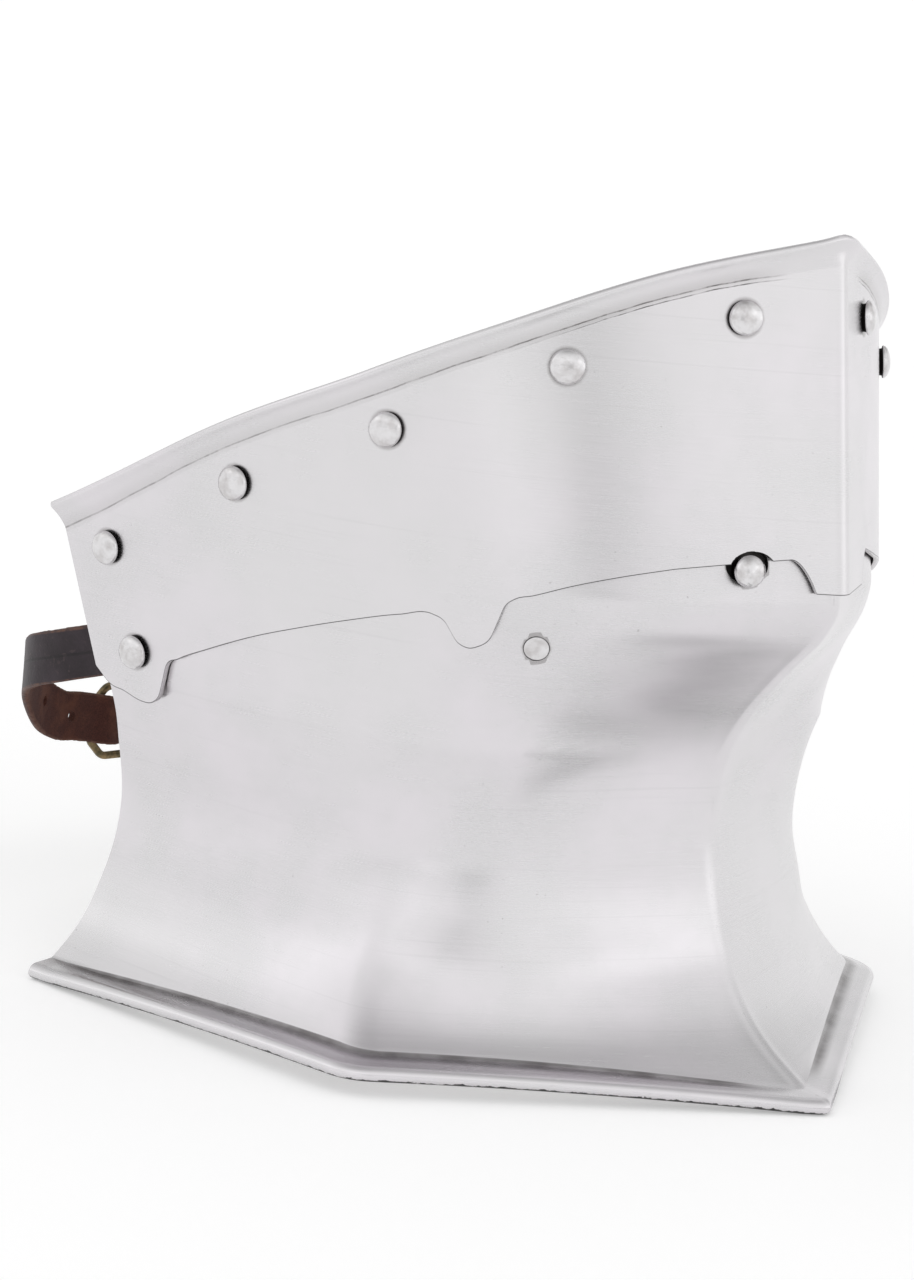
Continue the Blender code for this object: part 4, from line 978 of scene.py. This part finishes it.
def buckle_frame_mesh():
    inset = BUCKLE_BAR / 2
    near, high = BUCKLE_LENGTH / 2 - inset, BUCKLE_HEIGHT / 2 - inset
    cut_back = 0.24 * BUCKLE_HEIGHT - 0.5 * inset
    corners = [(near, -high), (near, high), (cut_back - near, high), (-near, high - cut_back)]
    corners += [(-near, cut_back - high), (cut_back - near, -high)]
    corners = [np.array(corner) for corner in corners]
    room = 0.0018
    path = []
    for i, corner in enumerate(corners):
        before, after = corners[i - 1], corners[(i + 1) % len(corners)]
        start = corner + (before - corner) / np.linalg.norm(before - corner) * room
        end = corner + (after - corner) / np.linalg.norm(after - corner) * room
        path += [(1 - u) ** 2 * start + 2 * u * (1 - u) * corner + u * u * end for u in np.linspace(0, 1, 9)]
    level = loop_height(BUCKLE_OUT)
    points = [(BUCKLE_OUT + a, STRAP_BACK, level + b) for a, b in path]
    shape = []
    for degrees in range(0, 360, 18):
        angle = math.radians(degrees)
        across, over = squared(math.cos(angle)), squared(math.sin(angle))
        shape.append((across * BUCKLE_BAR / 2, over * BUCKLE_THICKNESS / 2))
    return tube_mesh("buckle_frame_brass", points, (0, 1, 0), [shape] * len(points), True)


def buckle_tongue_mesh():
    tip, heel, _ = buckle_points()
    turn = math.hypot(BUCKLE_BAR, BUCKLE_THICKNESS) / 2 + SEAT + TONGUE_RADIUS
    points = []
    for degrees in range(-120, 96, 12):
        angle = math.radians(degrees)
        points.append((heel + turn * math.cos(angle), STRAP_BACK + turn * math.sin(angle), loop_height(heel)))
    rest = BUCKLE_THICKNESS / 2 + SEAT + TONGUE_RADIUS
    start, end = np.array(points[-1]), np.array([tip - 0.6 * BUCKLE_BAR, STRAP_BACK + rest, loop_height(tip)])
    points += [start + (end - start) * u for u in np.linspace(0.08, 1, 12)]
    shapes = []
    for left in range(len(points) - 1, -1, -1):
        radius = TONGUE_RADIUS * (0.97 if left > 3 else 0.55 + 0.13 * left)
        angles = np.linspace(0, 2 * math.pi, 14, endpoint=False)
        shapes.append([(radius * math.cos(a), radius * math.sin(a)) for a in angles])
    return tube_mesh("buckle_tongue_brass", points, (0, 0, 1), shapes, False)


# Spring catch

# How far the leaf's faces draw in towards its rounded edges
LEAF_EDGE = 0.00012 * np.array([1.6, 0.4, 0, 0, 0, 0, 0, 0.4, 1.6])


def catch_spring_mesh():
    loops = []
    for share in np.linspace(-SPRING_TAIL, 1 + SPRING_TIP, 49):
        along = SPRING_ALONG + (STUD_ALONG - SPRING_ALONG) * share
        middle = SPRING_HEIGHT + (STUD_HEIGHT - SPRING_HEIGHT) * share
        end = max(-share / SPRING_TAIL, (share - 1) / SPRING_TIP, 0.0)
        waist = 0.86 + 0.14 * math.cos(share * math.pi) ** 2
        wide = SPRING_WIDTH * waist * math.sqrt(max(1 - 0.80 * end**2.6, 0.05))
        heights = middle + wide * np.linspace(-0.5, 0.5, len(LEAF_EDGE))
        depth = STEEL + 1.6 * SEAT
        near = [neck_skin(along, h, depth + s) for h, s in zip(heights, LEAF_EDGE)]
        far = [neck_skin(along, h, depth + SPRING_STEEL - s) for h, s in zip(heights, LEAF_EDGE)]
        loops.append([mirrored(p, RIGHT) for p in near + far[::-1]])
    return grid_mesh("catch_spring_leaf", np.array(loops), len(LEAF_EDGE) - 1, {}, 40)


# Materials

class Value:
    """A number that a shader works out. Plain arithmetic with it adds the nodes."""

    def __init__(self, nodes, socket):
        self.nodes = nodes
        self.socket = socket

    def __add__(self, other):
        return self.nodes.math("ADD", self, other)

    def __sub__(self, other):
        return self.nodes.math("SUBTRACT", self, other)

    def __mul__(self, other):
        return self.nodes.math("MULTIPLY", self, other)

    def __truediv__(self, other):
        return self.nodes.math("DIVIDE", self, other)

    def __abs__(self):
        return self.nodes.math("ABSOLUTE", self)


class Nodes:
    """Short calls that add shader nodes and join them. Inputs are values, sockets or plain numbers."""

    def __init__(self, name="", tree=None):
        self.look = None if tree else bpy.data.materials.new(name)
        if self.look:
            self.look.use_nodes = True
        self.tree = tree or self.look.node_tree
        self.shader = self.tree.nodes.get("Principled BSDF")

    def put(self, socket, value):
        if isinstance(value, Value):
            value = value.socket
        if isinstance(value, bpy.types.NodeSocket):
            self.tree.links.new(value, socket)
        elif isinstance(value, tuple) and len(value) == 3 and socket.type == "RGBA":
            socket.default_value = (*value, 1.0)
        else:
            socket.default_value = value

    def new(self, kind, *values, **inputs):
        """A node with values for its first inputs in order, or for inputs by name."""
        made = self.tree.nodes.new("ShaderNode" + kind)
        for socket, value in zip(made.inputs, values):
            self.put(socket, value)
        for name, value in inputs.items():
            self.put(made.inputs[name.replace("_", " ")], value)
        return made

    def surface(self, **values):
        for name, value in values.items():
            self.put(self.shader.inputs[name.replace("_", " ")], value)

    def attribute(self, name):
        made = self.new("Attribute")
        made.attribute_name = name
        return Value(self, made.outputs["Fac"])

    def place(self, kind="Object"):
        return self.new("TexCoord").outputs[kind]

    def split(self, vector):
        return [Value(self, socket) for socket in self.new("SeparateXYZ", vector).outputs]

    def combine(self, x, y, z=0.0):
        return self.new("CombineXYZ", x, y, z).outputs[0]

    def scaled(self, vector, scale):
        return self.new("Mapping", Vector=vector, Scale=scale).outputs[0]

    def noise(self, vector, scale, detail=3.0, rough=0.55, warp=0.0):
        made = self.new("TexNoise", Vector=vector, Scale=scale, Detail=detail)
        made.inputs["Roughness"].default_value = rough
        made.inputs["Distortion"].default_value = warp
        return Value(self, made.outputs["Fac"])

    def cells(self, vector, scale):
        return Value(self, self.new("TexVoronoi", Vector=vector, Scale=scale).outputs["Distance"])

    def math(self, kind, a, b=0.0):
        made = self.new("Math", a, b)
        made.operation = kind
        return Value(self, made.outputs[0])

    def fade(self, value, low, high, to_low=0.0, to_high=1.0):
        """Smooth step of a value from one range to another."""
        made = self.new("MapRange", Value=value, From_Min=low, From_Max=high, To_Min=to_low, To_Max=to_high)
        made.interpolation_type = "SMOOTHSTEP"
        return Value(self, made.outputs["Result"])

    def fall(self, value, low, high, full=1.0):
        """Smooth step down to nothing."""
        return self.fade(value, low, high, full, 0.0)

    def mix(self, share, a, b):
        made = self.tree.nodes.new("ShaderNodeMix")
        made.data_type = "RGBA"
        self.put(made.inputs["Factor"], share)
        self.put(made.inputs[6], a)
        self.put(made.inputs[7], b)
        return made.outputs[2]

    def bump(self, height, depth, strength=1.0, under=None):
        made = self.new("Bump", Strength=strength, Distance=depth, Height=height)
        if under is not None:
            self.put(made.inputs["Normal"], under)
        return made.outputs["Normal"]


STEEL_PALE = (0.722, 0.695, 0.722)
STEEL_CLOUD = (0.660, 0.650, 0.662)
STEEL_WIDE = (0.690, 0.684, 0.688)
# Near black: grime in the engraved lines, and painted shade on the walls of the holes
GRIME_AND_SHADE = (0.030, 0.024, 0.022)
# Where the dark ring of grime and painted shade starts round the rivets and the stud, on each plate
NECK_GRIME_SHADE_RING = 0.0036
CHIN_GRIME_SHADE_RING = 0.0050


def plate_look(name, grime_shade_ring_at, marks):
    """Brushed steel: level strokes, clouds, pits, grime and painted shade round the rivets, painted shade on
    the holes' walls, and the marks of its own plate.
    """
    n = Nodes(name)
    place = n.place()
    arc, drop, near, inner = (n.attribute(key) for key in ("arc", "drop", "near", "inner"))
    sheet = n.combine(arc, n.split(place)[2])
    strokes = n.noise(n.scaled(sheet, (60.0, 2600.0, 1.0)), 1.0, 4.0, 0.65)
    coarse = n.noise(n.scaled(sheet, (22.0, 620.0, 1.0)), 1.0, 3.0, 0.6)
    scratch = n.noise(n.scaled(sheet, (9.0, 900.0, 1.0)), 1.0, 2.0, 0.5, 0.6)
    clouds = n.noise(place, 26.0, 4.0, 0.6)
    wide = n.noise(place, 9.0, 2.0, 0.5)
    specks = n.fade(n.noise(place, 900.0, 2.0, 0.5), 0.70, 0.78) * n.fade(clouds, 0.48, 0.62)
    colour = n.mix(n.fade(clouds, 0.30, 0.72), STEEL_PALE, STEEL_CLOUD)
    colour = n.mix(n.fade(wide, 0.40, 0.62, 0.0, 0.6), colour, STEEL_WIDE)
    colour = n.mix(n.fade(strokes, 0.35, 0.70) * 0.16, colour, (0.78, 0.765, 0.78))
    colour = n.mix(n.fade(scratch, 0.62, 0.72) * 0.07, colour, (0.42, 0.41, 0.42))
    colour = n.mix(specks * 0.35, colour, (0.22, 0.20, 0.20))
    # Grime and painted shade: a dark ring on the plate just outside the edge of each rivet head and round the
    # stud
    ring = n.fall(near + (clouds - 0.5) * 0.0012, grime_shade_ring_at, grime_shade_ring_at + 0.0013, 0.50)
    colour = n.mix(ring, colour, (0.16, 0.145, 0.14))
    # Painted shade: the walls cut for the holes and the notch go near black
    hole_wall_shade = n.fall(near, 0.0001, 0.0004, 0.95)
    colour = n.mix(hole_wall_shade, colour, GRIME_AND_SHADE)
    colour, height = marks(n, place, arc, drop, colour, strokes * 0.6 + coarse * 0.4)
    dull = n.mix(inner, colour, n.mix(0.6, colour, (0.33, 0.31, 0.30)))
    rough = clouds * 0.10 + strokes * 0.10 + inner * 0.12 + 0.16
    normal = n.bump(height, 0.000009)
    normal = n.bump(wide, 0.0010, 0.30, normal)
    normal = n.bump(clouds, 0.00005, 0.3, normal)
    n.surface(Base_Color=dull, Roughness=rough, Metallic=1.0, Normal=normal, Anisotropic=0.45)
    return n.look


def rim_marks(n, place, arc, drop, colour, height):
    """Two engraved lines under the rim that fade from the keel back, with grime, painted shade along the
    crease, and painted shade on the lower cut edge.
    """
    away = abs(arc)
    shifted = drop + (n.noise(place, 90.0) - 0.5) * 0.0007
    first = n.fall(abs(shifted - 0.0002), 0.00008, 0.00030)
    second = n.fall(abs(shifted + 0.0009), 0.00006, 0.00024)
    shown = n.fade(away, 0.014, 0.030) * n.fade(away, 0.05, 0.17, 1.0, 0.60)
    broken = n.fade(n.noise(n.combine(arc, 0.0), 130.0, 4.0, 0.7), 0.36, 0.60, 0.25, 1.0)
    twin = n.fade(away, 0.055, 0.095, 1.0, 0.12) * broken
    both = n.math("MAXIMUM", first * broken, second * twin) * shown
    colour = n.mix(both * 0.85, colour, GRIME_AND_SHADE)
    # Painted shade: a soft darker band along the crease and up the lower part of the rim
    crease_shade_band = n.fade(drop, -0.0014, 0.0003) * n.fall(drop, 0.0003, 0.0040)
    colour = n.mix(crease_shade_band * shown * 0.30, colour, (0.30, 0.285, 0.28))
    # Painted shade: the lower cut edge and front tab go near black, where the chin plate stands off the neck
    # plate
    cut_edge_shade = n.fall(n.attribute("lift"), 0.00012, 0.00030, 0.92)
    return n.mix(cut_edge_shade, colour, (0.020, 0.018, 0.018)), height - both * 5.0


def border_marks(n, place, arc, drop, colour, height):
    """Grime and painted shade in the foot's gutter, and the black ragged under side of its bead."""
    along = n.attribute("along")
    end = n.fade(along, 0.02, 0.12) * n.fade(along, 0.93, 0.985, 1.0, 0.35)
    # Grime with painted shade: the gutter darkens just outside the crease and fades outwards, unevenly
    gutter_grime_shade = n.fade(drop, -0.0001, 0.0003) * n.fall(drop, 0.0012, 0.0050)
    uneven = n.fade(n.noise(place, 70.0), 0.25, 0.70, 0.60, 1.0)
    colour = n.mix(gutter_grime_shade * end * uneven * 0.88, colour, (0.13, 0.12, 0.12))
    ragged = (n.noise(place, 330.0, 4.0, 0.7) - 0.5) * 0.0044
    under = n.fade(drop + ragged, 0.0166, 0.0170)
    return n.mix(under * 0.96, colour, (0.010, 0.008, 0.008)), height


def rivet_look():
    """Domed rivets: bright, scratched, with grime and painted shade, near black, on the collar and shank
    under the edge of the head.
    """
    n = Nodes("rivet_steel_looks")
    place = n.place()
    kind = n.attribute("kind")
    clouds = n.noise(place, 260.0, 4.0, 0.6)
    hairs = n.noise(n.scaled(place, (300.0, 300.0, 2200.0)), 1.0, 3.0, 0.6, 0.4)
    colour = n.mix(n.fade(clouds, 0.35, 0.75), (0.74, 0.73, 0.74), (0.55, 0.53, 0.53))
    colour = n.mix(n.fade(hairs, 0.62, 0.74) * 0.35, colour, (0.36, 0.35, 0.35))
    # Grime and painted shade: the collar under the head's edge, the shank and the burr go dark by their kind
    colour = n.mix(n.fade(kind, 0.1, 0.8), colour, (0.012, 0.010, 0.010))
    rough = clouds * 0.16 + 0.13 + kind * 0.5
    n.surface(Base_Color=colour, Roughness=rough, Metallic=1.0, Normal=n.bump(clouds, 0.00006, 0.6))
    return n.look


def clouded_look(name, scale, bright, dark, fade, least_rough):
    """Old metal whose colour and roughness go with the same clouds."""
    n = Nodes(name)
    clouds = n.noise(n.place(), scale, 4.0, 0.6)
    colour = n.mix(n.fade(clouds, *fade), bright, dark)
    rough = clouds * 0.25 + least_rough
    n.surface(Base_Color=colour, Roughness=rough, Metallic=1.0, Normal=n.bump(clouds, 0.00008, 0.5))
    return n.look


def spring_look():
    bright, dark = (0.075, 0.070, 0.072), (0.035, 0.032, 0.031)
    return clouded_look("spring_steel_looks", 120.0, bright, dark, (0.3, 0.7), 0.30)


def brass_look():
    bright, dark = (0.30, 0.215, 0.115), (0.095, 0.085, 0.050)
    return clouded_look("buckle_brass_looks", 300.0, bright, dark, (0.35, 0.7), 0.26)


def leather_look():
    """Dark grain outside with a pressed line, red-brown fuzzy flesh inside and paler worn edges."""
    n = Nodes("strap_leather_looks")
    place = n.place()
    across, run, side = (n.attribute(key) for key in ("across", "run", "side"))
    grain = n.cells(place, 1500.0)
    folds = n.noise(n.scaled(n.combine(run, across), (420.0, 3.0, 1.0)), 1.0, 3.0, 0.6, 0.8)
    clouds = n.noise(place, 90.0, 4.0, 0.6)
    fuzz = n.noise(place, 2600.0, 3.0, 0.75)
    outside = n.mix(n.fade(clouds, 0.3, 0.7), (0.030, 0.020, 0.026), (0.016, 0.010, 0.013))
    outside = n.mix(n.fade(folds, 0.58, 0.72) * 0.4, outside, (0.075, 0.050, 0.050))
    flesh = n.mix(n.fade(fuzz, 0.30, 0.72), (0.034, 0.0085, 0.0060), (0.085, 0.026, 0.017))
    flesh = n.mix(n.fade(clouds, 0.45, 0.75) * 0.5, flesh, (0.16, 0.060, 0.032))
    colour = n.mix(n.fade(side, 0.25, 0.62), flesh, outside)
    worn = n.fade(abs(across), 0.90, 0.99) * n.fade(n.noise(place, 500.0), 0.35, 0.62, 0.3, 0.9)
    colour = n.mix(worn, colour, (0.115, 0.055, 0.038))
    line = n.fall(abs(across), 0.030, 0.085) * n.fade(side, 0.5, 0.9)
    colour = n.mix(line * 0.6, colour, (0.006, 0.004, 0.005))
    normal = n.bump(grain * 0.5 + fuzz * 0.5 - line * 2.5, 0.00009, 0.7)
    normal = n.bump(folds, 0.00022, 0.5, normal)
    rough = n.fade(side, 0.3, 0.8, 0.86, 0.46) + clouds * 0.10
    n.surface(Base_Color=colour, Roughness=rough, Normal=normal, Specular_IOR_Level=0.35)
    return n.look


# Set

# Soft lights and dark patches all round: bearing from the camera's side, elevation, half width and
# half height in degrees, and how much each adds to the even light or takes from it
LIGHTS = [
    (-62, 22, 26, 16, 0.36),
    (75, 25, 30, 16, 0.32),
    (5, 27, 60, 14, 0.16),
    (9, -2, 13, 18, 0.22),
    (-41, 6, 12, 16, 0.20),
    (-95, 8, 28, 26, 0.36),
    (-18, 5, 9, 20, -0.42),
    (37, -4, 14, 20, -0.12),
    (62, -6, 12, 20, 0.06),
    (150, 34, 50, 22, -0.50),
    (-150, 34, 50, 22, -0.50),
]
OVERHEAD = (34.0, 84.0, 1.0, 0.50)
CAMERA_BEARING = math.radians(-130)

# Painted shadow: grey patches on the floor, seen only by the steel: centre, bearing of the long side in
# degrees, half length, half width, strength
SHADES = [
    (0.030, -0.139, 0, 0.030, 0.021, 0.66),
    (-0.014, -0.181, 32, 0.100, 0.025, 0.50),
]
SHADE_FIELD = ((-0.16, -0.28), (0.08, -0.11))
SHADE_LIFT = 0.0012
FLOOR_REACH = 30


def flat_stage(name, low, high, look):
    """A level rectangle that only dresses the set."""
    mesh = bpy.data.meshes.new(name)
    corners = [(low[0], low[1], 0), (high[0], low[1], 0), (high[0], high[1], 0), (low[0], high[1], 0)]
    mesh.from_pydata(corners, [], [(0, 1, 2, 3)])
    mesh.materials.append(look)
    thing = new_object(name, mesh)
    return thing


def floor():
    n = Nodes("floor_white")
    n.surface(Base_Color=(0.80, 0.80, 0.80), Roughness=0.9)
    n.surface(Emission_Color=(1.0, 1.0, 1.0), Emission_Strength=0.34)
    flat_stage("floor", (-FLOOR_REACH, -FLOOR_REACH), (FLOOR_REACH, FLOOR_REACH), n.look)


def studio():
    """White light all round, brightest in a band above the horizon and dimmer overhead."""
    scene = bpy.context.scene
    scene.world = bpy.data.worlds.new("studio")
    scene.world.use_nodes = True
    n = Nodes(tree=scene.world.node_tree)
    x, y, z = n.split(n.place("Generated"))
    facing_x, facing_y = math.sin(CAMERA_BEARING), math.cos(CAMERA_BEARING)
    ahead, aside = x * facing_x + y * facing_y, x * facing_y - y * facing_x
    bearing = n.math("ARCTAN2", aside, ahead) * math.degrees(1)
    level = n.math("ARCSINE", z) * math.degrees(1)
    total = n.fade(level, *OVERHEAD)
    for middle, height, half_width, half_height, strength in LIGHTS:
        lobe = n.fall(abs(bearing - middle), 0.0, half_width) * n.fall(abs(level - height), 0.0, half_height)
        total = total + lobe * strength
    back = n.tree.nodes["Background"]
    n.put(back.inputs["Color"], (1.0, 1.0, 1.0))
    n.put(back.inputs["Strength"], total)
    scene.view_settings.view_transform = "Standard"


def shade_card():
    """Soft grey patches of painted shadow on the floor by the foot's tip, seen by the steel alone, as its
    dark wedge shows.
    """
    n = Nodes("shade_card_grey")
    x, y, _ = n.split(n.place())
    shade = 0.0
    for centre_x, centre_y, bearing, half_length, half_width, strength in SHADES:
        turn_x, turn_y = math.cos(math.radians(bearing)), math.sin(math.radians(bearing))
        aside, ahead = x - centre_x, y - centre_y
        run = (aside * turn_x + ahead * turn_y) / half_length
        across = (ahead * turn_x - aside * turn_y) / half_width
        away = n.math("SQRT", run * run + across * across)
        shade = n.math("MAXIMUM", shade, n.fall(away, 0.15, 1.0, strength))
    n.surface(Base_Color=(0.10, 0.10, 0.10), Roughness=0.9, Alpha=shade)
    card = flat_stage("shade_card", *SHADE_FIELD, n.look)
    card.location = (0.0, 0.0, SHADE_LIFT)
    card.visible_camera = False
    card.visible_diffuse = False
    card.visible_shadow = False


# Assembly

# The stud's hole in the neck plate and its notch in the chin plate, slightly wide to the side
STUD_HOLE = 0.0053
NECK_HOLE_SHIFT, NECK_HOLE_WIDE = (0.0002, 0.0017, 0), 1.20
NOTCH_SHIFT, NOTCH_WIDE = (0.0012, 0.0003, 0), 1.30


def widened(place, shift, wide):
    return place @ Matrix.Translation(shift) @ Matrix.Diagonal((wide, 1.0, 1.0, 1.0))


def link_plate(name, mesh, holes, look, body, node):
    plate = punched(mesh, holes)
    plate.set_sharp_from_angle(angle=math.radians(48))
    link(name, plate, look, body, node, slot="plate_steel")


def link_turned(node, ending, rows, place, look, body, wobble, seed):
    mesh = turned_mesh(f"{node}_{ending}", rows, place, wobble, seed)
    link(f"{node}_{ending}", mesh, look, body, node, slot="rivet_steel")


def plates(pivots, stud, fixed):
    shank = SHANK_RADIUS + SEAT
    holes = [(pivots[side], shank, STEEL, 4 * STEEL) for side in (LEFT, RIGHT)]
    holes.append((widened(stud, NECK_HOLE_SHIFT, NECK_HOLE_WIDE), STUD_HOLE, 2 * STEEL, 3 * STEEL))
    holes.append((fixed, CATCH_RIVET_RADIUS + 0.00016, 2 * STEEL, 3 * STEEL))
    look = plate_look("neck_steel_looks", NECK_GRIME_SHADE_RING, border_marks)
    link_plate("neck_plate_brushed", neck_mesh(), holes, look, "neck", "neck_plate")
    holes = [(pivots[side], shank, STEEL, STEEL + SEAT / 2) for side in (LEFT, RIGHT)]
    holes.append((widened(stud, NOTCH_SHIFT, NOTCH_WIDE), STUD_HOLE, 6 * STEEL, 0.0))
    look = plate_look("chin_steel_looks", CHIN_GRIME_SHADE_RING, rim_marks)
    link_plate("chin_plate_brushed", chin_mesh(), holes, look, "chin", "chin_plate")


def rivets(steel, pivots):
    dome = HEAD_HEIGHT - COLLAR
    for side in (LEFT, RIGHT):
        rows = rivet_rows(HEAD_RADIUS, COLLAR, dome, STEEL)
        for number, along in enumerate(RIM_RIVETS_ALONG, start=1):
            node, seed = f"rim_rivet_{SIDE_NAMES[side]}_{number}", number + 10 * side + 20
            link_turned(node, "domed", rows, rim_rivet_seat(along, side), steel, "chin", 0.02, seed)
        leather = pivots[side].inverted() @ world(strap_route(side, 0.0)[1][:3])
        rows = rivet_rows(HEAD_RADIUS, COLLAR, dome, LEATHER / 2 - leather.z)
        node, seed = f"pivot_rivet_{SIDE_NAMES[side]}", 40 + side
        link_turned(node, "domed", rows, pivots[side], steel, "chin", 0.02, seed)


def spring_catch(steel, stud, fixed):
    under = STEEL + SEAT
    dome = 0.62 * STUD_RADIUS
    sunk_stud = stud @ Matrix.Translation((0, 0, -under))
    rows = rivet_rows(
        STUD_RADIUS, STUD_STANDS + under - dome, dome, SPRING_STEEL, 0.8 * BURR_RADIUS, 0.8 * SHANK_RADIUS
    )
    link_turned("catch_stud", "domed", rows, sunk_stud, steel, "catch", 0.012, 51)
    link_turned("catch_rivet", "flush", flush_rows(), fixed, steel, "neck", 0.01, 52)
    bend_end = fixed.translation.lerp(stud.translation, LEAF_BEND)
    bends = ("neck", "catch", tuple(fixed.translation), tuple(bend_end))
    link("catch_spring_leaf", catch_spring_mesh(), spring_look(), bends, "catch_spring", slot="spring_steel")


def strap_and_buckle():
    leather = leather_look()
    link("hole_strap_leather", hole_strap_mesh(), leather, "neck", "hole_strap", slot="strap_leather")
    link("buckle_strap_leather", buckle_strap_mesh(), leather, "neck", "buckle_strap", slot="strap_leather")
    brass = brass_look()
    link("buckle_frame_brass", buckle_frame_mesh(), brass, "neck", "buckle_frame", slot="buckle_brass")
    link("buckle_tongue_brass", buckle_tongue_mesh(), brass, "neck", "buckle_tongue", slot="buckle_brass")


def main():
    camera()
    studio()
    floor()
    shade_card()
    pivots = {side: chin_seat(PIVOT_ALONG, PIVOT_HEIGHT, side) for side in (LEFT, RIGHT)}
    stud = neck_seat(STUD_ALONG, STUD_HEIGHT, RIGHT)
    fixed = neck_seat(SPRING_ALONG, SPRING_HEIGHT, RIGHT)
    steel = rivet_look()
    plates(pivots, stud, fixed)
    rivets(steel, pivots)
    spring_catch(steel, stud, fixed)
    strap_and_buckle()


main()
